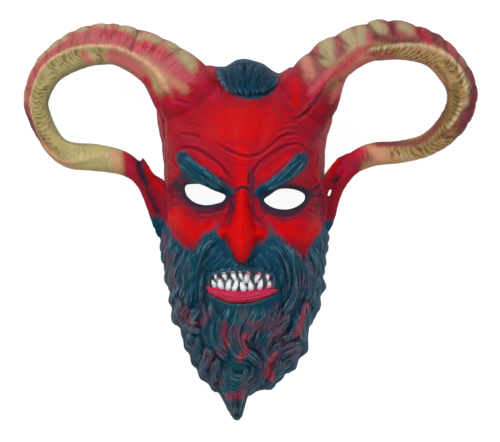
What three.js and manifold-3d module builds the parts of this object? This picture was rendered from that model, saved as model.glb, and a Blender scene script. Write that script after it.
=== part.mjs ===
// A devil mask for the face, moulded in one piece from latex about 2.5 mm thick: a bearded face with bared
// fangs, and two big horns that rise from the forehead, loop outwards and come back down into the ears.
// The mask lies on its open back. +Z is the way the face looks, +Y is towards the crown, +X is to the right
// of someone looking at the face, and z = 0 is the flat rim that it rests on. All sizes are in millimetres.
import * as THREE from "three";
import { mergeVertices } from "three/addons/utils/BufferGeometryUtils.js";
import Module from "manifold-3d";

const wasm = await Module();
wasm.setup();

// Driving dimensions. MID is the middle of the face, which the outline is measured around.
const MID = new THREE.Vector2(-8, 0);
const WALL = 2.4;
const FACE_DEPTH = 86;
const BROW_DEPTH = 91;
const BEARD_DEPTH = 74;
const NOSE_RISE = 31;
const EYE = { left: [-39.9, 22.8], right: [31.0, 18.6], halfLength: 18.3, halfHeight: 9.3 };
const MOUTH = { x: -7.5, y: -53.5, halfWidth: 31, halfHeight: 9 };
const BEARD_TOP = -34;
const STRAP_SLOT = { right: 72, y: 24.5, leftHeight: 14, halfLength: 3.4, halfWidth: 1.1 };

// What moves the middle of the finished part's footprint to the origin.
const CENTRE_SHIFT = { x: -0.34, y: 1.4 };

// The rim's outline seen from the front, anticlockwise from the wearer's left cheek.
const OUTLINE = [
  [69, 0], [69.5, 20], [67.5, 44], [68, 62], [70, 76], [73.5, 90], [73, 103], [62, 118], [46, 135], [38, 140],
  [32, 136.5], [27, 133], [22, 134.5], [17, 138.5], [12, 142.5], [5, 144.5], [-4.5, 147], [-12, 146], [-17, 143],
  [-22, 139.5], [-30, 139.5], [-38, 141], [-46, 139], [-62, 130], [-76, 118], [-83, 103], [-82, 86],
  [-80, 70], [-78, 50], [-77, 30], [-77, 12], [-80, -10], [-81, -24], [-79.5, -37], [-76.5, -44.5], [-77.5, -51],
  [-76, -57], [-71, -66], [-73.5, -74], [-69, -81], [-71, -86.5], [-69.5, -93], [-61.5, -98], [-61.5, -105],
  [-58.5, -110], [-60, -116], [-53, -122], [-53, -130], [-46.5, -135], [-46, -144], [-36, -148], [-34, -155.5],
  [-26, -157.5], [-25.5, -163], [-19, -177], [-13, -184], [-7, -179], [-5.5, -163], [5, -154.5], [20.5, -153.5],
  [22, -148], [29.5, -145], [30, -140], [42, -134.5], [42, -127.5], [52.5, -118], [51, -109], [52.5, -98],
  [58, -88.5], [63.5, -79], [62.5, -70], [68.5, -61], [65.5, -52], [68, -43], [68, -33], [70.5, -24], [71, -12],
];

// Repeated helpers.
const bell = (d, width) => Math.exp(-((d / width) ** 2));
const clamp = (v, lo, hi) => Math.min(hi, Math.max(lo, v));
const mix = (a, b, t) => a + (b - a) * t;
const smooth = (lo, hi, v) => {
  const t = clamp((v - lo) / (hi - lo), 0, 1);
  return t * t * (3 - 2 * t);
};

// The outline as a radius for each angle about MID: the points' radii, eased from one to the next.
const outlineKnots = OUTLINE.map(([x, y]) => ({
  angle: (Math.atan2(y - MID.y, x - MID.x) + 2 * Math.PI) % (2 * Math.PI),
  radius: Math.hypot(x - MID.x, y - MID.y),
})).sort((a, b) => a.angle - b.angle);

function outlineRadius(angle) {
  const turn = (angle + 4 * Math.PI) % (2 * Math.PI);
  const n = outlineKnots.length;
  let i = outlineKnots.findIndex((k) => k.angle > turn);
  if (i < 0) i = 0;
  const b = outlineKnots[i];
  const a = outlineKnots[(i + n - 1) % n];
  const gap = (b.angle - a.angle + 2 * Math.PI) % (2 * Math.PI);
  const t = ((turn - a.angle + 2 * Math.PI) % (2 * Math.PI)) / gap;
  return mix(a.radius, b.radius, t);
}

// Inside, the outline is drawn in by the wall, and by as much again as it takes to clear the lumps beside it.
function innerRadius(angle) {
  const near = [-4, -2, 0, 2, 4].map((turn) => outlineRadius(angle + (turn * Math.PI) / 180));
  return Math.min(...near) - WALL;
}

// The face is a dome over the outline, deepest at the brow, with its features added.
function dome(x, y, radius, depthLoss) {
  const r = clamp(Math.hypot(x - MID.x, y - MID.y) / radius(Math.atan2(y - MID.y, x - MID.x)), 0, 1);
  const upper = mix(FACE_DEPTH, BROW_DEPTH, smooth(0, 60, y));
  const depth = mix(BEARD_DEPTH, upper, smooth(-170, -70, y)) - depthLoss;
  return depth * Math.sqrt(1 - r ** 2.8);
}

// How far a point is from a straight stroke between two points, and how far along the stroke it is.
function stroke(x, y, [ax, ay], [bx, by]) {
  const dx = bx - ax;
  const dy = by - ay;
  const along = clamp(((x - ax) * dx + (y - ay) * dy) / (dx * dx + dy * dy), 0, 1);
  return { along, away: Math.hypot(x - ax - along * dx, y - ay - along * dy) };
}

// A long, thin nose that hooks down over the moustache, with a wing each side of its tip.
function nose(x, y) {
  const down = clamp((26 - y) / 64, 0, 1.1);
  const half = mix(9, 15, smooth(0, 0.7, down));
  const profile = mix(0.15, 1.05, smooth(-0.1, 0.9, down)) * Math.sqrt(1 - smooth(0.82, 1.06, down));
  const across = Math.abs(x + 8.5 + 1.5 * down) / half;
  const ridge = across < 1 ? (1 - across * across) ** 0.8 : 0;
  const wings = 9 * (bell(Math.hypot(x + 26, y + 13), 8) + bell(Math.hypot(x - 9, y + 13), 8));
  return (NOSE_RISE * profile * ridge) * smooth(38, 22, y) + wings;
}

function brows(x, y) {
  const left = stroke(x, y, [-64, 55], [-20, 26]);
  const right = stroke(x, y, [50, 56], [5, 26]);
  return 7 * (bell(left.away, 10) + bell(right.away, 10));
}

function sockets(x, y) {
  const hollow = ([cx, cy]) => bell(Math.hypot((x - cx) / 1.35, y - cy), 14);
  return -8 * (hollow(EYE.left) + hollow(EYE.right));
}

function cheeks(x, y) {
  return 7 * (bell(Math.hypot(x + 56, y + 6), 20) + bell(Math.hypot(x - 46, y + 8), 20));
}

// An open mouth with a full lower lip that curls up at its corners.
function mouth(x, y) {
  const dx = (x - MOUTH.x) / MOUTH.halfWidth;
  const dy = (y - MOUTH.y) / MOUTH.halfHeight;
  const recess = -7 * (1 - smooth(0.75, 1.2, Math.hypot(dx, dy)));
  const lipLine = MOUTH.y - 16 + 9 * dx * dx;
  const lip = 7 * bell(y - lipLine, 4.5) * (1 - smooth(0.8, 1.15, Math.abs(dx)));
  return recess + lip;
}

// The beard is thick, wavy locks that fan out from the mouth and run down to the point of the chin.
function beard(x, y) {
  const edge = BEARD_TOP + 14 * bell(x - MID.x, 26) - 12 * smooth(50, 70, Math.abs(x - MID.x));
  const around = 1 - bell(Math.hypot((x - MOUTH.x) / 1.6, y - MOUTH.y + 4), 19);
  const fan = (x - MID.x) / mix(1, 0.55, smooth(-70, -160, y));
  const wave = Math.cos((fan + 7 * Math.sin(y / 13)) / 2.4);
  return smooth(edge + 8, edge - 8, y) * around * (6 + 2.6 * wave);
}

// A tuft of hair that falls from the crown to a point on the forehead.
function tuft(x, y) {
  const reach = smooth(104, 122, y) * 34;
  const inTuft = smooth(reach + 4, reach - 6, Math.abs(x + 3));
  return 9 * inTuft * smooth(100, 112, y) * (1 + 0.2 * Math.cos(x / 2));
}

const features = (x, y) =>
  nose(x, y) + brows(x, y) + sockets(x, y) + cheeks(x, y) + mouth(x, y) + beard(x, y) + tuft(x, y);

// The features fade out over the last tenth of the way to the rim.
function rimFade(x, y) {
  const r = Math.hypot(x - MID.x, y - MID.y) / outlineRadius(Math.atan2(y - MID.y, x - MID.x));
  return 1 - smooth(0.9, 0.995, r);
}

const front = (x, y) => dome(x, y, outlineRadius, 0) + features(x, y) * rimFade(x, y);

// Inside, each point follows the lowest feature within a few millimetres, so the wall is nowhere thin.
function back(x, y) {
  let lowest = features(x, y);
  for (let k = 0; k < 8; k++) {
    const angle = (k * Math.PI) / 4;
    lowest = Math.min(lowest, features(x + 5.5 * Math.cos(angle), y + 5.5 * Math.sin(angle)));
  }
  return dome(x, y, innerRadius, WALL) + lowest * rimFade(x, y);
}

// A closed solid from a height over the outline: a square grid is bent into a disc and the disc is stretched
// to the outline, and a fan of triangles closes it underneath. Each square is split along its shorter
// diagonal, so that ridges run unbroken. drop sinks the solid's edge below the rim.
function domeSolid(cells, radius, height, drop) {
  const positions = [];
  const index = [];
  const at = (i, j) => i * (cells + 1) + j;
  const stretch = (r) => 1 - (1 - r) ** 1.35;
  for (let i = 0; i <= cells; i++) {
    for (let j = 0; j <= cells; j++) {
      const u = (2 * j) / cells - 1;
      const v = (2 * i) / cells - 1;
      const dx = u * Math.sqrt(1 - (v * v) / 2);
      const dy = v * Math.sqrt(1 - (u * u) / 2);
      const r = Math.hypot(dx, dy);
      const angle = Math.atan2(dy, dx);
      const reach = stretch(clamp(r, 0, 1)) * radius(angle);
      const x = MID.x + reach * Math.cos(angle);
      const y = MID.y + reach * Math.sin(angle);
      const border = i === 0 || j === 0 || i === cells || j === cells;
      positions.push(x, y, border ? -drop : Math.max(0.6, height(x, y)));
    }
  }
  const apart = (a, b) => Math.hypot(...[0, 1, 2].map((k) => positions[3 * a + k] - positions[3 * b + k]));
  for (let i = 0; i < cells; i++) {
    for (let j = 0; j < cells; j++) {
      const [a, b, c, d] = [at(i, j), at(i, j + 1), at(i + 1, j + 1), at(i + 1, j)];
      if (apart(a, c) < apart(b, d)) index.push(a, b, c, a, c, d);
      else index.push(a, b, d, b, c, d);
    }
  }
  const centre = positions.length / 3;
  positions.push(MID.x, MID.y, -drop);
  const edge = [];
  for (let k = 0; k < cells; k++) edge.push(at(0, k));
  for (let k = 0; k < cells; k++) edge.push(at(k, cells));
  for (let k = cells; k > 0; k--) edge.push(at(cells, k));
  for (let k = cells; k > 0; k--) edge.push(at(k, 0));
  edge.forEach((a, k) => index.push(centre, edge[(k + 1) % edge.length], a));
  return geometryOf(positions, index);
}

function geometryOf(positions, index) {
  const geometry = new THREE.BufferGeometry();
  geometry.setAttribute("position", new THREE.Float32BufferAttribute(positions, 3));
  geometry.setIndex(index);
  return geometry;
}

// A closed solid from rings of points, each ring joined to the next and the two ends closed by fans.
function ringSolid(rings) {
  const around = rings[0].length;
  const positions = rings.flat().flatMap((p) => [p.x, p.y, p.z]);
  const index = [];
  for (let i = 0; i + 1 < rings.length; i++) {
    for (let j = 0; j < around; j++) {
      const a = i * around + j;
      const b = i * around + ((j + 1) % around);
      index.push(a, b, b + around);
      index.push(a, b + around, a + around);
    }
  }
  const close = (ring, first, flip) => {
    const middle = ring.reduce((sum, p) => sum.add(p), new THREE.Vector3()).divideScalar(around);
    const centre = positions.length / 3;
    positions.push(middle.x, middle.y, middle.z);
    for (let j = 0; j < around; j++) {
      const a = first + j;
      const b = first + ((j + 1) % around);
      index.push(centre, flip ? a : b, flip ? b : a);
    }
  };
  close(rings[0], 0, false);
  close(rings.at(-1), (rings.length - 1) * around, true);
  return geometryOf(positions, index);
}

// The horns. Each row is a point of the centreline, the horn's width there and how far across it from the
// inside of the loop its keel runs, from the root to the ear.
const LEFT_HORN = [
  [-50, 96, 38, 50, 0.25], [-60, 117, 50, 60, 0.28], [-82.5, 140.5, 58, 45.5, 0.36], [-113, 155.3, 61, 37, 0.42],
  [-137, 157, 61, 36.5, 0.46], [-160, 149.5, 59, 33.5, 0.58], [-181, 134, 55, 27.5, 0.66],
  [-192, 110, 49, 23, 0.68], [-188.8, 91.5, 44, 21, 0.78], [-177, 69, 39, 20, 0.85],
  [-162, 58.5, 35, 24, 0.75], [-138, 56.2, 32, 24.5, 0.45], [-117, 52, 28, 22, 0.3], [-104.5, 44.5, 25, 18, 0.3],
  [-97.5, 33, 23, 11, 0.3], [-91.5, 18, 21, 9, 0.3], [-87, 5, 19, 9, 0.3], [-83, -7, 17, 8, 0.3],
  [-79.5, -16, 15, 4, 0.3],
];
const RIGHT_HORN = [
  [46, 94, 38, 50, 0.3], [54, 113, 49, 55, 0.32], [71.5, 140, 58, 41, 0.42], [97.5, 155.7, 61, 34.5, 0.5],
  [119, 161, 61, 36, 0.52], [143, 159, 60, 32.5, 0.58], [167, 150, 57, 29, 0.66],
  [186, 128, 52, 28, 0.68], [190.5, 108, 48, 27, 0.62], [181, 86, 43, 25, 0.5], [160, 68, 38, 21, 0.38],
  [134, 61.3, 34, 20.5, 0.3], [113, 59.5, 30, 21.3, 0.27], [98, 54, 27, 20, 0.27], [88.5, 45.5, 24, 17, 0.27],
  [80.5, 30, 22, 11, 0.27], [76, 14, 20, 8.5, 0.27], [73.5, 2, 18, 7.5, 0.27], [70.5, -10, 16, 4, 0.27],
];
const HORN = { flatness: 0.86, keel: 2, wall: 2.8, solidFrom: 0.68, ringPitch: 24, ringSwell: 1.6 };

// Reads a column of a table at a place between its rows.
function columnAt(rows, column, t) {
  const k = t * (rows.length - 1);
  const row = Math.min(Math.floor(k), rows.length - 2);
  return mix(rows[row][column], rows[row + 1][column], k - row);
}

// The rings of points round a horn. Rings of growth swell its outer side over the first half of its length,
// and the steps along it are closer together there.
function hornRings(rows, side, steps, around, isCore) {
  const path = new THREE.CatmullRomCurve3(rows.map(([x, y, z]) => new THREE.Vector3(x, y, z)), false, "centripetal");
  const length = path.getLength();
  const rings = [];
  for (let i = 0; i <= steps; i++) {
    const u = i / steps;
    const t = isCore ? HORN.solidFrom * u : mix(u, u * u, 0.3);
    const place = path.getPoint(t);
    const ahead = path.getTangent(t);
    const up = new THREE.Vector3(0, 0, 1).addScaledVector(ahead, -ahead.z).normalize();
    const out = new THREE.Vector3().crossVectors(ahead, up).multiplyScalar(side);
    const half = columnAt(rows, 3, t) / 2;
    const keelAngle = Math.acos(2 * columnAt(rows, 4, t) - 1);
    const ringed = smooth(0.09, 0.15, t) * (1 - smooth(0.39, 0.51, t));
    const ring = [];
    for (let j = 0; j < around; j++) {
      const angle = keelAngle + (2 * Math.PI * j) / around;
      const outer = Math.sqrt(Math.max(0, Math.cos(angle)));
      const swell = HORN.ringSwell * ringed * outer * Math.cos((2 * Math.PI * t * length) / HORN.ringPitch);
      const core = (half - HORN.wall) * Math.sqrt(1 - u ** 6) + 0.4;
      const size = isCore ? core : half + swell + (j === 0 ? HORN.keel : 0);
      const p = place.clone();
      p.addScaledVector(out, size * Math.cos(angle));
      p.addScaledVector(up, size * HORN.flatness * Math.sin(angle));
      ring.push(p);
    }
    rings.push(side > 0 ? ring.reverse() : ring);
  }
  return rings;
}

// The ears are bent leaves with a hollow front, drawn from lobe to tip, between the head and the thin end of the
// horn that runs down their outer edge. Each row is a point where the ear leaves the head, then one of its edge.
const LEFT_EAR = [
  [[-74, -12, 28], [-80, -9, 19]], [[-73, 0, 32], [-83, 5, 19]], [[-72, 12, 35], [-88, 17, 19]],
  [[-72, 24, 37], [-94, 28, 20]], [[-77, 36, 37], [-99, 39, 21]], [[-85.5, 41, 34], [-101.5, 48, 24]],
  [[-93, 51.5, 29], [-97, 57.5, 25]],
];
const RIGHT_EAR = [
  [[63, -8, 29], [70, -6, 19]], [[63, 4, 32], [72, 6, 19]], [[63, 16, 35], [73, 18, 20]],
  [[63, 28, 37], [76, 31, 21]], [[65, 37, 37], [81, 43, 23]], [[70, 45.5, 35], [86, 54, 26]],
  [[78.5, 56, 31], [90, 61.5, 29]],
];
const EAR_THICKNESS = 5;

function earRings(rows, side, steps, around) {
  const curve = (pick) => new THREE.CatmullRomCurve3(rows.map((row) => new THREE.Vector3(...row[pick])));
  const rootLine = curve(0);
  const edgeLine = curve(1);
  const rings = [];
  for (let i = 0; i <= steps; i++) {
    const t = i / steps;
    const root = rootLine.getPoint(t);
    const edge = edgeLine.getPoint(t);
    const ring = [];
    for (let j = 0; j < around; j++) {
      const angle = (2 * Math.PI * j) / around;
      const across = 0.5 - 0.5 * Math.cos(angle);
      const p = root.clone().lerp(edge, across);
      const cup = 5 * Math.sin(Math.PI * across) * Math.sin(Math.PI * clamp(t, 0.1, 0.9));
      p.z += (EAR_THICKNESS / 2) * Math.sin(angle) - cup;
      ring.push(p);
    }
    rings.push(side > 0 ? ring.reverse() : ring);
  }
  return rings;
}

// The fangs stand half sunk in the floor of the mouth. The upper ones point down, the lower ones up.
const UPPER_FANGS = [-31, -23.4, -14.5, -5.5, 6.3, 15.8];
const LOWER_FANGS = [-27, -19, -11, -1, 9.5, 17];
const FANG = { height: 10.5, radius: 4, upperY: -50, lowerY: -57, rise: 2.5 };

function fang(x, y, pointing) {
  const cone = new THREE.ConeGeometry(FANG.radius, FANG.height, 6).toNonIndexed();
  cone.rotateX(pointing > 0 ? 0 : Math.PI);
  cone.translate(x, y, front(x, MOUTH.y) + FANG.rise);
  return cone;
}

// An almond-shaped prism that cuts an eye hole.
function eyePrism([cx, cy], slant) {
  const shape = new THREE.Shape();
  const inner = slant > 0 ? 1 : -1;
  shape.moveTo(cx - EYE.halfLength * inner, cy + 2);
  shape.quadraticCurveTo(cx - 8 * inner, cy + EYE.halfHeight * 1.75, cx + EYE.halfLength * inner, cy - 2.5);
  shape.quadraticCurveTo(cx - 2 * inner, cy - EYE.halfHeight * 1.9, cx - EYE.halfLength * inner, cy + 2);
  return new THREE.ExtrudeGeometry(shape, { depth: 100, bevelEnabled: false, curveSegments: 9 }).translate(0, 0, 20);
}

// The slots for the head strap: the right one goes through the root of the ear from front to back, and the left
// one through the side of the head behind the ear.
function strapSlots() {
  const { right, y, leftHeight, halfLength, halfWidth } = STRAP_SLOT;
  const slot = (x, depth) => {
    const shape = new THREE.Shape();
    shape.absellipse(x, y, halfWidth, halfLength, 0, 2 * Math.PI);
    return new THREE.ExtrudeGeometry(shape, { depth, bevelEnabled: false, curveSegments: 4 });
  };
  const leftEnd = MID.x - outlineRadius(Math.PI) - 5;
  return [slot(right, 80).translate(0, 0, -5), slot(-leftHeight, 14).rotateY(Math.PI / 2).translate(leftEnd, 0, 0)];
}

// From a three.js geometry to a manifold solid, and back.
function solidOf(geometry) {
  const bare = geometry.clone();
  for (const name of Object.keys(bare.attributes)) {
    if (name !== "position") bare.deleteAttribute(name);
  }
  const merged = mergeVertices(bare, 1e-4);
  const mesh = new wasm.Mesh({
    numProp: 3,
    vertProperties: new Float32Array(merged.attributes.position.array),
    triVerts: new Uint32Array(merged.index.array),
  });
  return new wasm.Manifold(mesh);
}

function geometryFrom(solid) {
  const mesh = solid.getMesh();
  return geometryOf(Array.from(mesh.vertProperties), Array.from(mesh.triVerts));
}

// The whole casting: everything outside, less everything inside.
function castMask() {
  const outside = [domeSolid(44, outlineRadius, front, 0)];
  const inside = [domeSolid(22, innerRadius, back, 4)];
  for (const [rows, side] of [[LEFT_HORN, 1], [RIGHT_HORN, -1]]) {
    outside.push(ringSolid(hornRings(rows, side, 47, 12, false)));
    inside.push(ringSolid(hornRings(rows, side, 15, 8, true)));
  }
  outside.push(ringSolid(earRings(LEFT_EAR, 1, 9, 10)));
  outside.push(ringSolid(earRings(RIGHT_EAR, -1, 9, 10)));
  for (const x of UPPER_FANGS) outside.push(fang(x, FANG.upperY, -1));
  for (const x of LOWER_FANGS) outside.push(fang(x, FANG.lowerY, 1));
  inside.push(eyePrism(EYE.left, 1), eyePrism(EYE.right, -1));
  inside.push(...strapSlots());
  const join = (geometries) => geometries.map(solidOf).reduce((sum, solid) => sum.add(solid));
  return join(outside).subtract(join(inside));
}

const material = new THREE.MeshStandardMaterial({ color: 0xb3121f, roughness: 0.5, metalness: 0 });
const mask = new THREE.Mesh(geometryFrom(castMask()), material);
mask.name = "mask";
mask.position.set(CENTRE_SHIFT.x, CENTRE_SHIFT.y, 0);

const part = new THREE.Group();
part.add(mask);
export default part;
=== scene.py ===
# %% [markdown]
# # A devil mask, moulded in one piece
#
# The real thing is a latex casting: a sculptor models the head in clay, a plaster mould is taken from it,
# liquid latex is poured in and left to form a skin, and the skin is pulled out and painted by hand. So
# everything here is one piece of one material, and what tells hair from horn is its relief and its paint.
#
# The lesson follows nearly the same order: the face, its hair and its creases are drawn on a plan, the head
# is raised from it, the horns, ears and teeth are joined on, the fine relief is pressed in, the back is
# hollowed out, and the paint comes last.

import math

import bpy
import numpy as np
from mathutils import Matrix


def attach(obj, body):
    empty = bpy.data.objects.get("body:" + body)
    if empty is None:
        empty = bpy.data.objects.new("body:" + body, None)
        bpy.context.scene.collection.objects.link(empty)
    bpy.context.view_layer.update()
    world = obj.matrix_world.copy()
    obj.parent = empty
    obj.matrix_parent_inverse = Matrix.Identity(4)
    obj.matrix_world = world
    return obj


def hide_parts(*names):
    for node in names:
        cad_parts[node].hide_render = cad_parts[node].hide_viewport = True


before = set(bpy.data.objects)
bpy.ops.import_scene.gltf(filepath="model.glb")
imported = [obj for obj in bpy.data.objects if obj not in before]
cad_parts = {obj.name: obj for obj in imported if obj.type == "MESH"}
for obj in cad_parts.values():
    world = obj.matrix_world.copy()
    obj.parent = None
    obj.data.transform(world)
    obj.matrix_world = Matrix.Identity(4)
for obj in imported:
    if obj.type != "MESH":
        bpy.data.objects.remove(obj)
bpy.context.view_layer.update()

# %% [markdown]
# ## Working in millimetres
#
# Blender works in metres here, but a sculptor thinks in millimetres, so every shape below is worked out in
# millimetres on a plan of the mask: x to the right, y towards the crown, z towards the person looking at
# it. `to_metres` is the one place where a shape changes unit and moves so that the mask's footprint is
# centred, as the solid model's is.

# %% Units and small helpers
CENTRE_SHIFT = np.array([-0.34, 1.4, 0.0])
RANDOM = np.random.default_rng(7)


def to_metres(points):
    return (np.asarray(points, float) + CENTRE_SHIFT) * 0.001


def to_millimetres(points):
    return np.asarray(points, float) * 1000.0 - CENTRE_SHIFT


def smooth(low, high, v):
    """0 below low, 1 above high, and an S-shaped curve between them. high may be the smaller one."""
    t = np.clip((v - low) / (high - low), 0.0, 1.0)
    return t * t * (3.0 - 2.0 * t)


def mix(a, b, t):
    return a + (b - a) * t


def bell(d, width):
    """A bell curve: 1 where d is 0, about a third at one width away, next to nothing beyond two."""
    return np.exp(-((d / width) ** 2))


def curve_through(points, count):
    """A smooth curve through rows of points. Between two rows it follows the Catmull-Rom cubic, which
    leaves each row in the direction from its neighbour before to its neighbour after."""
    rows = np.asarray(points, float)
    padded = np.vstack([2 * rows[0] - rows[1], rows, 2 * rows[-1] - rows[-2]])
    where = np.linspace(0, len(rows) - 1, count)
    k = np.minimum(where.astype(int), len(rows) - 2)
    t = (where - k)[:, None]
    a, b, c, d = padded[k], padded[k + 1], padded[k + 2], padded[k + 3]
    return 0.5 * (2 * b + (c - a) * t + (2 * a - 5 * b + 4 * c - d) * t**2 + (3 * b - a - 3 * c + d) * t**3)


def mesh_object(name, points, faces):
    """A mesh object from points in millimetres and faces, each a list of the numbers of its corners."""
    mesh = bpy.data.meshes.new(name)
    mesh.from_pydata(to_metres(points).tolist(), [], faces)
    mesh.update()
    made = bpy.data.objects.new(name, mesh)
    bpy.context.scene.collection.objects.link(made)
    return made


def positions_of(mesh):
    flat = np.empty(3 * len(mesh.vertices))
    mesh.vertices.foreach_get("co", flat)
    return to_millimetres(flat.reshape(-1, 3))


def put_points(mesh, points):
    """Moves a mesh's points to new places in millimetres."""
    mesh.vertices.foreach_set("co", to_metres(points).ravel())
    mesh.update()


def normals_of(mesh):
    flat = np.empty(3 * len(mesh.vertices), np.float32)
    mesh.vertices.foreach_get("normal", flat)
    return flat.reshape(-1, 3).astype(float)


print("helpers ready")

# %% [markdown]
# ## The plan: a raster to draw relief and paint on
#
# Hair, creases and paint are drawn on a flat plan of the mask, as on tracing paper laid over it. The plan is
# a grid of half-millimetre cells. A stroke is a smooth curve, and each cell near it knows how far it is from
# the curve, on which side, and how far along. Every groove, lock and brush mark below is a formula in those
# three numbers.

# %% The plan and its strokes
PITCH = 0.5
PLAN_LOW = np.array([-214.0, -190.0])
PLAN_SIZE = (761, 857)
plan_x, plan_y = np.meshgrid(
    PLAN_LOW[0] + PITCH * np.arange(PLAN_SIZE[1]), PLAN_LOW[1] + PITCH * np.arange(PLAN_SIZE[0])
)


def window_round(points, margin):
    """The rows and columns of the plan that lie within a margin of some points."""
    low = np.floor((points.min(0) - margin - PLAN_LOW) / PITCH).astype(int)
    high = np.ceil((points.max(0) + margin - PLAN_LOW) / PITCH).astype(int) + 1
    low = np.maximum(low, 0)
    return (slice(low[1], min(high[1], PLAN_SIZE[0])), slice(low[0], min(high[0], PLAN_SIZE[1])))


def along_curve(curve, x, y):
    """For each point (x, y): its distance from the nearest sample of a curve, signed by the side it lies
    on (left is positive), and where along the curve it is, from 0 to 1. Also the curve's length."""
    heading = np.gradient(curve, axis=0)
    heading /= np.linalg.norm(heading, axis=1, keepdims=True) + 1e-9
    dx = x.reshape(-1, 1) - curve[:, 0]
    dy = y.reshape(-1, 1) - curve[:, 1]
    nearest = np.argmin(dx * dx + dy * dy, axis=1)
    row = np.arange(len(nearest))
    dx, dy = dx[row, nearest], dy[row, nearest]
    side = heading[nearest, 0] * dy - heading[nearest, 1] * dx
    away = np.where(side < 0, -1.0, 1.0) * np.hypot(dx, dy)
    step = heading[nearest, 0] * dx + heading[nearest, 1] * dy
    length = np.linalg.norm(np.diff(curve, axis=0), axis=1).sum()
    along = np.clip(nearest / (len(curve) - 1) + step / length, 0.0, 1.0)
    return away.reshape(x.shape), along.reshape(x.shape), length


def stroke(plan, points, width, value, taper=0.25, combine=np.maximum):
    """Draws a stroke on a plan: value at its middle, falling off as a bell of the given width to each side,
    and fading out over the taper at both ends. combine says how it joins what is already there."""
    curve = curve_through(points, 14 * len(points))
    window = window_round(curve, 2.6 * width)
    away, along, _ = along_curve(curve, plan_x[window], plan_y[window])
    ends = smooth(0, taper, along) * smooth(1, 1 - taper, along) if taper else 1.0
    plan[window] = combine(plan[window], value * ends * bell(away, width))


def blur(plan, radius):
    """The mean over a square of the given radius in millimetres, taken twice, by running sums."""
    n = max(1, int(round(radius / PITCH)))
    for _ in range(2):
        for axis in (0, 1):
            padded = np.concatenate([np.repeat(np.take(plan, [0], axis), n + 1, axis), plan,
                                     np.repeat(np.take(plan, [-1], axis), n, axis)], axis)
            total = np.cumsum(padded, axis)
            size = plan.shape[axis]
            upper = np.take(total, np.arange(2 * n + 1, 2 * n + 1 + size), axis)
            lower = np.take(total, np.arange(0, size), axis)
            plan = (upper - lower) / (2 * n + 1)
    return plan


def read_plan(plan, x, y):
    """The plan's value at points (x, y), mixed from the four cells round each."""
    u = np.clip((x - PLAN_LOW[0]) / PITCH, 0, PLAN_SIZE[1] - 1.001)
    v = np.clip((y - PLAN_LOW[1]) / PITCH, 0, PLAN_SIZE[0] - 1.001)
    i, j = u.astype(int), v.astype(int)
    s, t = u - i, v - j
    low = mix(plan[j, i], plan[j, i + 1], s)
    high = mix(plan[j + 1, i], plan[j + 1, i + 1], s)
    return mix(low, high, t)


def ripple(x, y, size, seed):
    """Smooth random hills: the sum of twelve plane waves of about one size in random directions."""
    waves = np.random.default_rng(seed)
    total = np.zeros_like(x)
    for _ in range(12):
        angle, phase = waves.uniform(0, 2 * math.pi, 2)
        length = size * waves.uniform(0.7, 1.6)
        total += np.sin(2 * math.pi * (x * math.cos(angle) + y * math.sin(angle)) / length + phase)
    return total / 12**0.5


print("a plan of", PLAN_SIZE[1], "by", PLAN_SIZE[0], "cells of", PITCH, "mm")

# %% [markdown]
# ## The outline and the dome
#
# The mask's rim is the outline of a bearded head seen from the front. Its corners are measured from the
# middle of the face, so the outline becomes one number, a radius, for every direction. It could be drawn as a
# polygon, but a radius can be scaled: the same numbers then give the dome, its wall and its hollow. The dome
# is a flattened half-egg over the outline, deepest at the brow.

# %% Outline and dome
MIDDLE = (-8.0, 0.0)
OUTLINE = [
    (69, 0), (69.5, 20), (67.5, 44), (68, 62), (70, 76), (75, 90), (75, 103), (62, 118), (46, 135),
    (38, 140), (32, 136.5), (27, 133), (22, 134.5), (17, 138.5), (12, 142.5), (5, 144.5), (-4.5, 147),
    (-12, 146), (-17, 143), (-22, 139.5), (-30, 139.5), (-38, 141), (-46, 139), (-62, 130), (-76, 118),
    (-85, 103), (-84, 88), (-80, 70), (-78, 50), (-77, 30), (-77, 12), (-80, -10), (-81, -24), (-79.5, -37),
    (-76.5, -44.5), (-77.5, -51), (-76, -57), (-71, -66), (-73.5, -74), (-69, -81), (-71, -86.5),
    (-69.5, -93), (-61.5, -98), (-61.5, -105), (-58.5, -110), (-60, -116), (-53, -122), (-53, -130),
    (-46.5, -135), (-46, -144), (-36, -148), (-34, -155.5), (-26, -157.5), (-25.5, -161), (-20.5, -168),
    (-17, -177), (-13, -184), (-7, -179), (-5.5, -163), (5, -154.5), (20.5, -153.5), (22, -148),
    (29.5, -145), (30, -140), (42, -134.5), (42, -127.5), (52.5, -118), (51, -109), (52.5, -98),
    (58, -88.5), (63.5, -79), (62.5, -70), (68.5, -61), (65.5, -52), (68, -43), (68, -33), (70.5, -24),
    (71, -12),
]
TURN_STEPS = 1440
outline_points = np.array(OUTLINE, float) - MIDDLE
outline_turns = np.arctan2(outline_points[:, 1], outline_points[:, 0]) % (2 * math.pi)
outline_order = np.argsort(outline_turns)
outline_table = np.interp(
    np.arange(TURN_STEPS) * 2 * math.pi / TURN_STEPS,
    outline_turns[outline_order],
    np.linalg.norm(outline_points, axis=1)[outline_order],
    period=2 * math.pi,
)
for _ in range(3):  # round its corners off
    outline_table = sum(np.roll(outline_table, k) for k in range(-2, 3)) / 5


def outline_radius(turn):
    where = (turn % (2 * math.pi)) / (2 * math.pi) * TURN_STEPS
    return np.interp(where, np.arange(TURN_STEPS + 1), np.append(outline_table, outline_table[0]))


BEARD_DEPTH, EYE_DEPTH, BROW_DEPTH = 74.0, 86.0, 91.0
DOME_POWER = 2.8


def depth_at(y):
    """How deep the mask is along its middle: least at the point of the beard, most at the brow."""
    upper = mix(EYE_DEPTH, BROW_DEPTH, smooth(0, 60, y))
    return mix(BEARD_DEPTH, upper, smooth(-170, -70, y))


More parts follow.
